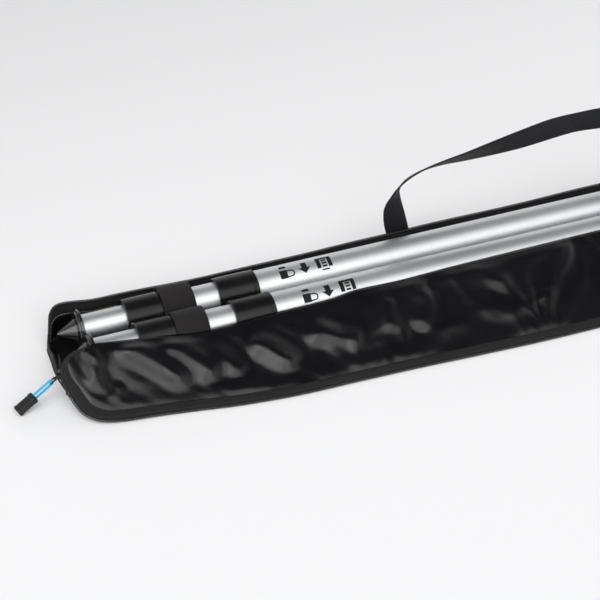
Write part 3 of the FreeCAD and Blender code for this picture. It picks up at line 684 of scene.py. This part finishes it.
def lid_height(x, y):
    """Top of the lid's fabric over the ground."""
    ridge_y, ridge_z = ridge_at(x)
    edge_y = curve_through(LID_EDGE, x)
    t = (ridge_y - y) / (ridge_y - edge_y)
    if t <= 0:
        return ridge_z - 0.35 * (y - ridge_y)
    t = min(t, 1.0)
    round_over = 1.6 * math.exp(-((t - 0.02) / 0.03) ** 2)
    fall = 1 - (1 - t) ** 1.32
    return ridge_z + (EDGE_LIFT - ridge_z) * fall - round_over * t


def lid_normal(x, y):
    d = 1.0
    dx = (lid_height(x + d, y) - lid_height(x - d, y)) / (2 * d)
    dy = (lid_height(x, y + d) - lid_height(x, y - d)) / (2 * d)
    return Vector((-dx, -dy, 1)).normalized()


def tape_reach(s, total):
    """How far in from the lid's edge its tape reaches; it runs out at the two near corners."""
    return eased([(0, 3.6), (14, 5.0), (52, COIL + TAPE - 1.6)], min(s, total - s))


def lid_track(inset, step=3.0):
    """Track along the lid's edge, inset(s, total) in from it; sideways points outward."""
    plan = round_path([(x, y, 0) for x, y in LID_OUTLINE], 2.0)
    at = distances(plan)
    lifted = []
    for i, p in enumerate(plan):
        run = run_at(plan, i)
        p = p - Vector((run.y, -run.x, 0)).normalized() * inset(at[i], at[-1])
        lifted.append(Vector((p.x, p.y, lid_height(p.x, p.y))))
    points = respaced(lifted, step)
    ups = [lid_normal(p.x, p.y) for p in points]
    sides = [run_at(points, i).cross(up).normalized() for i, up in enumerate(ups)]
    return Track(points, sides, ups)


def split_at_seam(thing, names, near_nodes=(), far_nodes=()):
    """Cuts a lid piece in two along the middle of the narrow strip, keeping its shading."""
    mesh = thing.data
    normals = [n.vector.copy() for n in mesh.vertex_normals]
    layer = mesh.uv_layers.active
    parts = []
    for name, near in zip(names, (True, False)):
        faces, used, uvs = [], {}, []
        for poly in mesh.polygons:
            if (poly.center.y < SEAM_Y * MM) == near:
                continue
            faces.append(tuple(used.setdefault(v, len(used)) for v in poly.vertices))
            if layer:
                uvs += [tuple(layer.data[i].uv) for i in poly.loop_indices]
        part = bpy.data.meshes.new(name)
        part.from_pydata([mesh.vertices[v].co for v in used], [], faces)
        if layer:
            copy = part.uv_layers.new(name="cloth")
            for loop, uv in zip(copy.data, uvs):
                loop.uv = uv
        part.materials.append(mesh.materials[0])
        part.polygons.foreach_set("use_smooth", [True] * len(part.polygons))
        part.normals_split_custom_set_from_vertices([normals[v] for v in used])
        parts.append(add_object(name, part))
    bpy.data.objects.remove(thing)
    near_part, far_part = parts
    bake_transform(near_part)
    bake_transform(far_part)
    for part, nodes in ((near_part, near_nodes), (far_part, far_nodes)):
        if nodes:
            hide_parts(*nodes)


def wall_point(x, t):
    """Point of the near wall's inner face from the floor (0) to just under the ridge (1)."""
    ridge_y, ridge_z = ridge_at(x)
    axis_y, reach = AXIS_Y[2], 16.9
    straight = AXIS_Z - LINING_TOP
    curved = reach * (math.pi - math.atan2(ridge_z - AXIS_Z, ridge_y - axis_y))
    s = t * (straight + curved)
    if s < straight:
        return Vector((x, axis_y - reach, LINING_TOP + s))
    a = math.pi - (s - straight) / reach
    return Vector((x, axis_y + reach * math.cos(a), AXIS_Z + reach * math.sin(a)))


def lid_columns():
    """For each column of the lid's cloth: its x on the ridge, and its end under the tape."""
    inner = lid_track(lambda s, total: tape_reach(s, total) - 1.6, 2.2)
    fan, corner, spread_by = 96.0, 444.0, 26.0
    first = inner.frame(fan)[0].x
    last = inner.frame(inner.length - fan)[0].x
    columns = []
    for s, end in zip(inner.at, inner.points):
        rest = inner.length - s
        if s < fan:
            x = -corner + spread_by * s / fan
        elif rest < fan:
            x = corner - spread_by * rest / fan
        else:
            x = (end.x - first) / (last - first) * 2 - 1
            x *= corner - spread_by
        columns.append((x, end))
    return columns


def wall_places(columns, inset, t):
    """x of each column on the near wall, which is longer at its foot (0) than at its top (1)."""
    places = []
    for i, (x, end) in enumerate(columns):
        foot = (i / (len(columns) - 1) * 2 - 1) * (HALF - inset)
        places.append(foot + (x - foot) * t ** 2)
    return places


def lid_point(x_ridge, end, v):
    """Point of the lid's top between the ridge and the end of a column."""
    ridge_y = ridge_at(x_ridge)[0]
    x = x_ridge + (end.x - x_ridge) * v
    y = ridge_y + (end.y - ridge_y) * v
    return Vector((x, y, lid_height(x, y)))


def make_lid_lining():
    """Lining from the case floor up the near wall, over the ridge and down the lid."""
    columns = lid_columns()
    wall_rows, lid_rows = 9, 34
    rows = []
    for t in (k / wall_rows for k in range(wall_rows)):
        rows.append([wall_point(x, t) for x in wall_places(columns, 2.5, t)])
    for v in (k / lid_rows for k in range(lid_rows + 1)):
        rows.append([lid_point(x, end, v) for x, end in columns])
    lining = grid_mesh("lid_lining_whole", rows, LINING_CLOTH, flip=True)
    fold_lid(lining, wall_rows, len(columns))
    split_at_seam(lining, ("lid_lining_ridge", "lid_lining_panel"),
                  ("near_wall", "lid_hinge_strip"), ("lid_lining",))


# Large folds of the lining near its left end: the crest as (x, distance from the ridge) points,
# its height, and how far its front and its back slope reach, all in mm.
FOLDS = [
    ([(-441, 4), (-447, 20), (-453, 36), (-457, 46)], 3.0, 8, 9),
    ([(-431, 33), (-437, 43), (-446, 51)], 1.9, 5, 5),
    ([(-435, 5), (-413, 15), (-395, 31), (-381, 50)], 4.8, 12, 15),
    ([(-402, 8), (-381, 17), (-366, 33), (-357, 47)], 4.4, 13, 17),
    ([(-362, 12), (-349, 29), (-338, 48)], 2.6, 11, 14),
    ([(-331, 16), (-314, 30), (-303, 45), (-296, 55)], 4.2, 13, 14),
    ([(-288, 27), (-268, 30), (-252, 39), (-233, 52)], 3.8, 12, 14),
    ([(-204, 8), (-212, 27), (-215, 48)], 3.4, 18, 14),
    ([(-172, 8), (-179, 28), (-194, 50)], 3.4, 22, 12),
    ([(-140, 6), (-128, 20), (-100, 32)], 3.0, 10, 12),
    ([(-118, 58), (-92, 50), (-66, 46)], 2.8, 9, 12),
]
# Lean of the folds along the lid: how far they shift along x for each mm towards the tape.
LEAN = [(-460, 0.8), (-290, 0.9), (-225, -0.2), (-180, -0.5), (-130, 0.9), (-60, -0.9), (0, 0.7),
        (90, -0.6), (170, 0.8), (260, 0.5), (340, -0.7), (430, 0.4)]


def facets(x, down, wide, long, tall):
    """Crumpled cloth: flat facets between scattered points of random height."""
    def spot(px, pd):
        return (px - eased(LEAN, px) * (pd - 35)) / wide, pd / long

    corners, heights = [], []
    for i in range(int(-520 / wide), int(520 / wide) + 1):
        for k in range(-2, int(90 / long) + 3):
            corners.append(Vector((i + rng.uniform(-0.4, 0.4), k + rng.uniform(-0.4, 0.4))))
            heights.append(rng.uniform(0, 1))
    made = delaunay_2d_cdt(corners, [], [], 0, 1e-6)
    points = [(p.x, p.y, heights[origin[0]]) for p, origin in zip(made[0], made[3])]
    tree = BVHTree.FromPolygons(points, made[2])
    rise = np.zeros(x.shape)
    for r in range(x.shape[0]):
        for c in range(x.shape[1]):
            a, b = spot(x[r, c], down[r, c])
            hit = tree.ray_cast(Vector((a, b, 9)), Vector((0, 0, -1)))[0]
            rise[r, c] = hit.z * tall if hit else 0.0
    return rise


def fold_rise(x, down, fold):
    """Height of one fold at the given places."""
    crest, tall, front, back = fold
    nearest = np.full(x.shape, 1e9)
    side_of, place_of = np.zeros(x.shape), np.zeros(x.shape)
    total = sum(math.dist(a, b) for a, b in zip(crest, crest[1:]))
    done = 0.0
    for (x0, d0), (x1, d1) in zip(crest, crest[1:]):
        run = math.dist((x0, d0), (x1, d1))
        ux, ud = (x1 - x0) / run, (d1 - d0) / run
        along = (x - x0) * ux + (down - d0) * ud
        held = np.clip(along, 0, run)
        gap = np.hypot(x - x0 - held * ux, down - d0 - held * ud)
        side = -(x - x0) * ud + (down - d0) * ux
        closer = gap < nearest
        nearest = np.where(closer, gap, nearest)
        side_of = np.where(closer, np.where(side >= 0, gap, -gap), side_of)
        place_of = np.where(closer, (done + held) / total, place_of)
        done += run
    fade = np.clip(place_of / 0.3, 0, 1) * np.clip((1 - place_of) / 0.22, 0, 1)
    fade = fade * fade * (3 - 2 * fade)
    ahead = np.clip(1 - side_of / front, 0, 1)
    behind = np.exp(-(side_of / back) ** 2)
    return FOLD_SCALE * tall * fade * np.where(side_of >= 0, ahead, behind)


def fold_lid(lining, wall_rows, count):
    """Lifts the lid's part of the lining into its folds, creases and the puckers at the tape."""
    grid = np.array([v.co for v in lining.data.vertices]).reshape(-1, count, 3) / MM
    panel = grid[wall_rows:]
    steps = np.linalg.norm(np.diff(panel, axis=0), axis=2)
    down = np.vstack([np.zeros(count), np.cumsum(steps, axis=0)])
    to_tape = down[-1][None, :] - down
    x = panel[:, :, 0]
    rise = facets(x, down, 21, 38, 4.4)
    calm = np.clip((x + 300) / 80, 0, 1)
    rise *= 0.35 + 0.65 * calm
    for fold in FOLDS:
        one = fold_rise(x, down, fold)
        rise = np.maximum(rise, one) + 0.4 * np.minimum(rise, one)
    rise += facets(x, down, 8, 16, 1.9) * (0.45 + 0.55 * calm)
    rise *= np.clip(down / 9, 0, 1) * np.clip(to_tape / 20, 0, 1) ** 0.8
    gather = facets(x, down, 4.8, 15, 2.4) * facets(x, down, 26, 60, 1.0)
    rise += gather * np.exp(-((to_tape - 5) / 7.0) ** 2) * np.clip(to_tape / 2.5, 0, 1)
    rise[1:-1] = (rise[:-2] + 2 * rise[1:-1] + rise[2:]) / 4
    rise[:, 1:-1] = (rise[:, :-2] + 2 * rise[:, 1:-1] + rise[:, 2:]) / 4
    for r in range(len(panel)):
        for c in range(count):
            px, py = panel[r, c, :2]
            panel[r, c] += np.array(lid_normal(px, py)) * rise[r, c]
    lining.data.vertices.foreach_set("co", (grid * MM).ravel())
    lining.data.update()


def make_lid_skin():
    """Outer fabric: up the outside of the near wall, round the fold, and under the lid."""
    columns = lid_columns()
    wall_rows, fold_rows, lid_rows = 8, 4, 16
    fold_end = 0.035
    rows = []
    for t in (k / (wall_rows - 1) for k in range(wall_rows)):
        y = NEAR + 0.3 - 0.5 * math.sin(math.pi * t)
        rows.append([Vector((place, y, 0.2 + (ridge_at(x)[1] - 8.0) * t))
                     for place, (x, end) in zip(wall_places(columns, 0.6, t), columns)])
    for t in (k / fold_rows for k in range(1, fold_rows + 1)):
        row = []
        for x, end in columns:
            ridge_y, ridge_z = ridge_at(x)
            low = Vector((x, NEAR + 0.3, ridge_z - 7.8))
            top = Vector((x, ridge_y - 1.7, ridge_z - 1.6))
            row.append(low.lerp(top, t) + Vector((0, 0.6 * math.sin(math.pi * t), 0)))
        rows.append(row)
    for k in range(1, lid_rows + 1):
        lid = [lid_point(x, end, fold_end + (1 - fold_end) * k / lid_rows) for x, end in columns]
        rows.append([p - lid_normal(p.x, p.y) * min(1.7, 0.85 * p.z) for p in lid])
    split_at_seam(grid_mesh("lid_skin_whole", rows, SHELL_CLOTH),
                  ("near_wall_skin", "lid_panel_skin"),
                  ("near_wall", "lid_hinge_strip"), ("lid_shell",))


def make_lid_zip():
    """Tape, its stitching and the coil round the lid's free edge."""
    edge = lid_track(lambda s, total: 0.0)

    def reach(s):
        return tape_reach(s, edge.length)

    def profile(s):
        inner, outer, low, high, cut = -reach(s), -COIL + 0.9, -0.75, 0.65, 0.3
        ring = [(inner + cut, low), (outer - cut, low), (outer, low + cut), (outer, high - cut),
                (outer - cut, high), (inner + cut, high), (inner, high - cut), (inner, low + cut)]
        return [(side, up, side - inner - cut) for side, up in ring]

    # The coil begins clear of the slider.
    begin = next(i for i, p in enumerate(edge.points) if p.y < PULL_PIVOT[1] - 4.2)
    for name, whole, slot, nodes in (
            ("tape", strip_mesh("lid_tape", edge, profile), "zip_tape", ("lid_zip_tape",)),
            ("coil", coil_mesh("lid_coil", edge.cut(begin), side=-1.2, up=-0.1), "zip_coil",
             ("lid_zip_coil",)),
            ("inner_stitch", stitch_mesh("lid_stitch", edge, THREAD, lambda s: 1.3 - reach(s),
                                         0.72), "zip_tape", ()),
            ("outer_stitch", stitch_mesh("lid_stitch", edge, THREAD, lambda s: -COIL - 1.1,
                                         0.72), "zip_tape", ())):
        split_at_seam(whole, ("lid_%s_ridge" % name, "lid_%s_edge" % name), (), nodes)


# ---------------- zip half on the case


def rim_tape(name, track):
    """Zip tape hanging from the coil; on the sagging end it is squeezed against the floor."""
    inner, outer, cut = -1.5, -0.15, 0.3

    def profile(s):
        z = track.frame(s)[0].z
        top = z - COIL * 0.55
        low = max(z - COIL - TAPE, 0.25)
        mid = (top + low) / 2
        belly = 0.35 * math.sin(s * 0.11) * (1 if low > 1 else 0.4)
        ring = [(outer - cut, top), (outer, top - 0.5), (outer + belly, mid), (outer, low + cut),
                (outer - cut, low), (inner + cut, low), (inner, low + cut), (inner + belly, mid),
                (inner, top - 0.5), (inner + cut, top)]
        return [(side, at - z, abs(at - low)) for side, at in ring]

    return strip_mesh(name, track, profile)


def make_case_zip(outline, sides):
    """Tape, coil and stitching round the case rim; the sagging end is in two loose parts."""
    points = [p + Vector((0, 0, rim_height(p))) for p in outline]
    rim = Track(points, sides, [(0, 0, 1)] * len(points))
    split_y = AXIS_Y[1] + 16.4
    stretches = (
        ("left_end_near", lambda p: p.x < 0 and p.y < 0.02, "pole_2_withdraw",
         ("left_end_zip_tape",), ("left_end_zip_coil",)),
        ("left_end_far", lambda p: p.x < -HALF + FAR_CORNER and -0.02 < p.y < split_y,
         "pole_1_withdraw", (), ()),
        ("rim", lambda p: p.x >= 0 or p.y >= split_y, None,
         ("far_zip_tape", "right_end_zip_tape"), ("far_zip_coil", "right_end_zip_coil")))
    for name, test, joint, tape_nodes, coil_nodes in stretches:
        kept = [i for i, p in enumerate(rim.points) if test(p)]
        part = rim.cut(max(kept[0] - 1, 0), kept[-1] + 1)
        pieces = [(rim_tape(name + "_tape", part), "zip_tape", tape_nodes),
                  (coil_mesh(name + "_coil", part, side=-1.25, up=-1.2), "zip_coil", coil_nodes),
                  (stitch_mesh(name + "_stitch", part, THREAD, lambda s: 0.12, -COIL - 1.6,
                               into=(1, 0)), "zip_tape", ())]
        if name == "rim":
            seam = stitch_mesh("rim_seam", part, PALE_THREAD, lambda s: -1.62,
                               -COIL - TAPE + 1.7, into=(1, 0))
            pieces.append((seam, "zip_tape", ()))
        for thing, slot, nodes in pieces:
            finish_piece(thing, "case", nodes)
            if joint:
                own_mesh(thing)


def make_corner_coil():
    """Upright stretch of coil at the near-left corner, which the slider runs on."""
    low, high = box_mm("corner_zip_coil")
    x, y = centre_mm("corner_zip_coil")[:2]
    margin, count = 0.6, 12
    tall = high[2] - low[2] - 2 * margin
    points = [(x, y, low[2] + margin + tall * k / count) for k in range(count + 1)]
    track = Track(points, [(-1, 0, 0)] * len(points), [(0, 1, 0)] * len(points))
    coil = coil_mesh("corner_coil", track, half_side=0.72, half_up=0.72, wire=0.38)
    finish_piece(coil, "case", ("corner_zip_coil",))


# ---------------- lining of the case


def make_case_lining(outline, sides):
    """Lining of the floor and of the far and end walls, with soft creases."""
    wall = [p - s * 2.2 for p, s in zip(outline, sides)]
    lowest = LINING_TOP + 0.3
    tops = []
    for p in outline:
        top = rim_height(p) - COIL - TAPE + 0.8
        if p.x < -HALF + 12:
            top = min(top, under_tubes(p.y, 99.0, 16.6, 0.4))
        tops.append(max(top, lowest))
    rows = []
    wall_steps, floor_steps, near_y = 6, 12, -32.6
    for k in range(wall_steps + 1):
        t = 1 - k / wall_steps
        row = []
        for i, (p, side, top) in enumerate(zip(wall, sides, tops)):
            soft = 0.35 * math.sin(i * 0.61) * math.sin(math.pi * t)
            row.append(p + side * soft + Vector((0, 0, LINING_TOP + (top - LINING_TOP) * t)))
        rows.append(row)
    inner = [Vector((p.x, p.y, LINING_TOP)) - s * 4.0 for p, s in zip(wall, sides)]
    rows.append(inner)
    for k in range(1, floor_steps + 1):
        row = []
        for p in inner:
            x, y = p.x, p.y + (near_y - p.y) * k / floor_steps
            lump = 0.25 * math.sin(x * 0.05 + y * 0.09) + 0.15 * math.sin(x * 0.13 - y * 0.21)
            row.append(Vector((x, y, LINING_TOP + 0.02 + max(lump, -0.1))))
        rows.append(row)
    lining = grid_mesh("case_lining", rows, LINING_CLOTH, flip=True)
    finish_piece(lining, "case", ("base_lining",))


# ---------------- elastic, webbing, pull


def ribbon(name, centres, sides, wide, thick, mat, cross=6):
    """Flat strap through centre points; sides gives the direction across it at each one."""
    points, uvs = [], []
    # The underside's place on the cloth lies clear of the top's.
    under = 40
    for i, (p, at) in enumerate(zip(centres, distances(centres))):
        ahead = run_at(centres, i).normalized()
        side = Vector(sides[i]).normalized()
        side = (side - ahead * side.dot(ahead)).normalized()
        up = ahead.cross(side).normalized()
        for face in (1, -1):
            for k in range(cross + 1):
                t = k / cross if face == 1 else 1 - k / cross
                a = (t - 0.5) * wide
                edge = 1 - 0.55 * abs(2 * t - 1) ** 8
                points.append(p + side * a + up * (face * thick / 2 * edge))
                uvs.append((at, a + (under if face < 0 else 0)))
    return new_mesh(name, points, tube_faces(len(centres), 2 * (cross + 1)), uvs, mat)


def band_line():
    """Section of the elastic loop: up from the lining, over both poles, down again."""
    foot, reach = LINING_TOP + 0.3, 16.5
    far, near = AXIS_Y[1], AXIS_Y[2]
    dip = math.degrees(math.acos(min(1.0, far / reach)))
    points = [(far + reach, foot + (AXIS_Z - foot) * k / 5) for k in range(6)]
    points += arc(far, AXIS_Z, reach, 0, 180 - dip, 19)[1:]
    points += arc(near, AXIS_Z, reach, dip, 180, 19)[1:]
    return points + [(near - reach, AXIS_Z + (foot - AXIS_Z) * k / 5) for k in range(1, 6)]


def make_bands():
    for name in ("left_elastic_band", "right_elastic_band"):
        low, high = box_mm(name)
        x = centre_mm(name)[0] * 1.005
        centres = []
        for y, z in band_line():
            proud = 1.6 * math.exp(-((y - 27) / 7.0) ** 2) if z > AXIS_Z else 0.0
            centres.append(Vector((x, y + 0.3 * proud, z + proud)))
        sides = [(1, 0.015 * math.sin(i * 0.5), 0) for i in range(len(centres))]
        band = ribbon(name + "_woven", centres, sides, high[0] - low[0] - 1.6, 1.0, BAND_CLOTH)
        finish_piece(band, "case", (name,))


STRAP_HALF = [
    # centre x, y, z, then the direction across the webbing, from its outer to its inner edge
    (-160.0, 40.9, 5.5, 1.0, 0.0, 0.0), (-160.0, 41.0, 14.0, 1.0, 0.0, 0.0),
    (-159.6, 41.2, 23.0, 1.0, 0.0, 0.02), (-162.4, 42.2, 38.0, 0.98, 0.06, -0.10),
    (-163.6, 43.4, 51.0, 0.88, 0.34, -0.20), (-160.0, 44.6, 63.0, 0.55, 0.72, -0.45),
    (-152.0, 45.4, 71.0, 0.30, 0.80, -0.56), (-138.0, 45.6, 77.2, 0.18, 0.80, -0.62),
    (-120.0, 45.2, 80.8, 0.12, 0.74, -0.72), (-98.0, 44.4, 83.0, 0.05, 0.58, -0.84),
    (-72.0, 43.4, 86.2, 0.03, 0.34, -0.95), (-46.0, 42.2, 90.0, 0.02, 0.12, -1.0),
    (-22.0, 41.4, 93.8, 0.0, 0.03, -1.0), (0.0, 41.2, 95.0, 0.0, 0.10, -1.0),
]


def make_strap():
    """Carry strap from patch to patch, and the sewn patch under each of its legs."""
    right = [(-x, y, z, -a, b, c) for x, y, z, a, b, c in STRAP_HALF[-2::-1]]
    rows = STRAP_HALF + right
    line = [Vector(row[:3]) for row in rows]
    at = distances(line)
    centres = round_path(line, 3.5)
    sides = []
    for i in range(len(centres)):
        s = at[-1] * i / (len(centres) - 1)
        sides.append([curve_through([(a, row[k]) for a, row in zip(at, rows)], s)
                      for k in (3, 4, 5)])
    strap = ribbon("carry_strap_webbing", centres, sides, 20.0, 1.5, WEBBING, cross=8)
    finish_piece(strap, "case", ("carry_strap",))
    for node in ("left_strap_patch", "right_strap_patch"):
        make_patch(node)


def make_patch(node):
    """Sewn patch with a crossed box of stitches."""
    low, high = box_mm(node)
    x = centre_mm(node)[0]
    centres = [Vector((x, low[1] + 0.6, low[2] + (high[2] - low[2]) * k / 10)) for k in range(11)]
    patch = ribbon(node + "_sewn", centres, [(1, 0, 0)] * 11, high[0] - low[0], 1.1, TAPE_CLOTH)
    finish_piece(patch, "case", (node,))
    left, right, foot, head, face_y = x - 8.4, x + 8.4, 7.5, 19.5, 41.95
    corners = [(left, foot), (right, foot), (right, head), (left, head), (left, foot),
               (right, head), (right, foot), (left, head)]
    dense = []
    for (a, b), (c, d) in zip(corners, corners[1:]):
        n = max(2, int(math.dist((a, b), (c, d)) / 1.2))
        dense += [(a + (c - a) * k / n, face_y, b + (d - b) * k / n) for k in range(n)]
    track = Track(dense, [(0, 1, 0)] * len(dense), [(0, 0, 1)] * len(dense))
    sewn = stitch_mesh(node + "_stitches", track, THREAD, lambda s: 0.0, 0.0, pitch=2.6,
                       long=1.9, into=(1, 0))
    finish_piece(sewn, "case")


def pull_spot(u, w=0.0, n=0.0):
    """Point on the pull: u along it from its pin, w across it, n over it, in mm."""
    along = Vector((math.cos(PULL_TILT) * math.cos(PULL_YAW),
                    math.cos(PULL_TILT) * math.sin(PULL_YAW), math.sin(PULL_TILT)))
    across = Vector((-math.sin(PULL_YAW), math.cos(PULL_YAW), 0))
    over = along.cross(across)
    return Vector(PULL_PIVOT) + along * u + across * w + over * n


def make_cord():
    """Cord loop through the pull tab, with its ends in the grip."""
    curve = bpy.data.curves.new("pull_cord_loop", "CURVE")
    curve.dimensions = "3D"
    curve.bevel_depth = 0.95 * MM
    curve.bevel_resolution = 4
    over = [(-23.5, 2.0), (-18.5, 2.0), (-13.5, 2.0), (-9.6, 2.0), (-7.0, 2.0), (-5.8, 0.8)]
    route = over + [(u, -n) for u, n in over[::-1]]
    spline = curve.splines.new("NURBS")
    spline.points.add(len(route) - 1)
    for point, (u, n) in zip(spline.points, route):
        point.co = (*(pull_spot(u, 0, n) * MM), 1)
    spline.order_u = 3
    spline.use_endpoint_u = True
    curve.materials.append(CORD)
    return finish_piece(add_object("pull_cord_loop", curve), "pull", ("pull_cord",))


def make_grip():
    """Moulded grip: a rounded block with cross ribs."""
    start, stop, stations, around = -23.2, -41.0, 46, 28
    half_w, half_n, power = 4.3, 3.3, 0.42
    points = []
    for i in range(stations + 1):
        t = i / stations
        end = min(t, 1 - t) * stations
        cap = math.sqrt(max(0.0, 1 - (1 - min(end / 4.0, 1)) ** 2))
        scale = 0.62 + 0.38 * cap if t < 0.5 else 0.8 + 0.2 * cap
        rib = 0.0
        if 0.2 < t < 0.86:
            rib = 0.32 * (0.5 + 0.5 * math.cos(t * 2 * math.pi * 7.5)) ** 0.5
        for k in range(around):
            a = 2 * math.pi * k / around
            c, s = math.cos(a), math.sin(a)
            w = math.copysign(abs(c) ** power, c) * (half_w - rib) * scale
            n = math.copysign(abs(s) ** power, s) * (half_n - rib) * scale
            points.append(pull_spot(start + (stop - start) * t, w, n))
    grip = new_mesh("pull_grip_moulded", points, tube_faces(stations + 1, around), None, GRIP)
    return finish_piece(grip, "pull", ("pull_grip",))


def make_pull():
    """Cord and grip of the pull, whose metal tab stays CAD."""
    cord = make_cord()
    grip = make_grip()


# ---------------- printed marks


def print_mark(name, pole, shapes):
    """Thin printed patch on an outer tube: flat outlines bent round the tube."""
    reach = OUTER_RADIUS + 0.03
    points, faces = [], []
    for outline in shapes:
        faces.append(tuple(range(len(points), len(points) + len(outline))))
        for x, around in outline:
            a = around / reach
            points.append((x, AXIS_Y[pole] - math.sin(a) * reach, AXIS_Z + math.cos(a) * reach))
    finish_piece(new_mesh(name, points, faces, None, INK), "pole_%d_outer" % pole)


def blocks(x, mid, *boxes):
    """Rectangles (x0, x1, a0, a1) from a place on the tube, as cells that bend with it."""
    cells = []
    for x0, x1, a0, a1 in boxes:
        n = math.ceil(a1 - a0)
        edges = [mid + a0 + (a1 - a0) * k / n for k in range(n + 1)]
        cells += [[(x + x0, a), (x + x1, a), (x + x1, b), (x + x0, b)]
                  for a, b in zip(edges, edges[1:])]
    return cells


def shackle(x, mid, inner, outer):
    """Half ring of a padlock."""
    parts = 14
    low, high = (arc(x, mid, radius, -90, 90, parts + 1) for radius in (inner, outer))
    return [[low[k], high[k], high[k + 1], low[k + 1]] for k in range(parts)]


def make_marks():
    """Generic marks on each outer tube: a padlock, an arrow round the tube and a barred field."""
    for pole, x, mid in ((1, -276.0, 4.5), (2, -269.5, 7.0)):
        lock = blocks(x, mid, (0, 6.4, -1.2, 6.2))
        lock += shackle(x + 9.4, mid + 2.5, 2.1, 3.2)
        lock += blocks(x, mid, (6.4, 9.4, -0.7, 0.4), (6.4, 9.4, 4.6, 5.7), (1.0, 6.6, -6.0, -3.4))
        print_mark("pole_%d_mark_lock" % pole, pole, lock)
        ax, steps, wide, tall = x + 21.5, 8, 5.0, 5.2
        arrow = blocks(ax, mid, (-2.3, 2.3, -5.0, 0.4))
        for k in range(steps):
            near, far = wide * (1 - k / steps), wide * (1 - (k + 1) / steps)
            a0, a1 = (mid + 0.4 + tall * j / steps for j in (k, k + 1))
            arrow.append([(ax - near, a0), (ax + near, a0), (ax + far, a1), (ax - far, a1)])
        print_mark("pole_%d_mark_arrow" % pole, pole, arrow)
        bars = [(4.6, 8.6, bar - 0.8, bar + 0.8) for bar in (-2.6, 0.2, 3.0)]
        field = blocks(x + 32.0, mid, (0, 13.0, -6.2, -4.0), (0, 3.4, -4.0, 4.2),
                       (9.8, 13.0, -4.0, 4.2), *bars, (3.4, 9.8, 5.4, 6.6))
        print_mark("pole_%d_mark_field" % pole, pole, field)


# ---------------- everything, in order


OUTLINE = case_outline()
SIDES = outward(OUTLINE)

make_stage()
make_camera()
dress_poles()
make_case_shell(OUTLINE, SIDES)
make_case_zip(OUTLINE, SIDES)
make_corner_coil()
make_case_lining(OUTLINE, SIDES)
make_lid_lining()
make_lid_skin()
make_lid_zip()
make_bands()
make_strap()
make_pull()
make_marks()
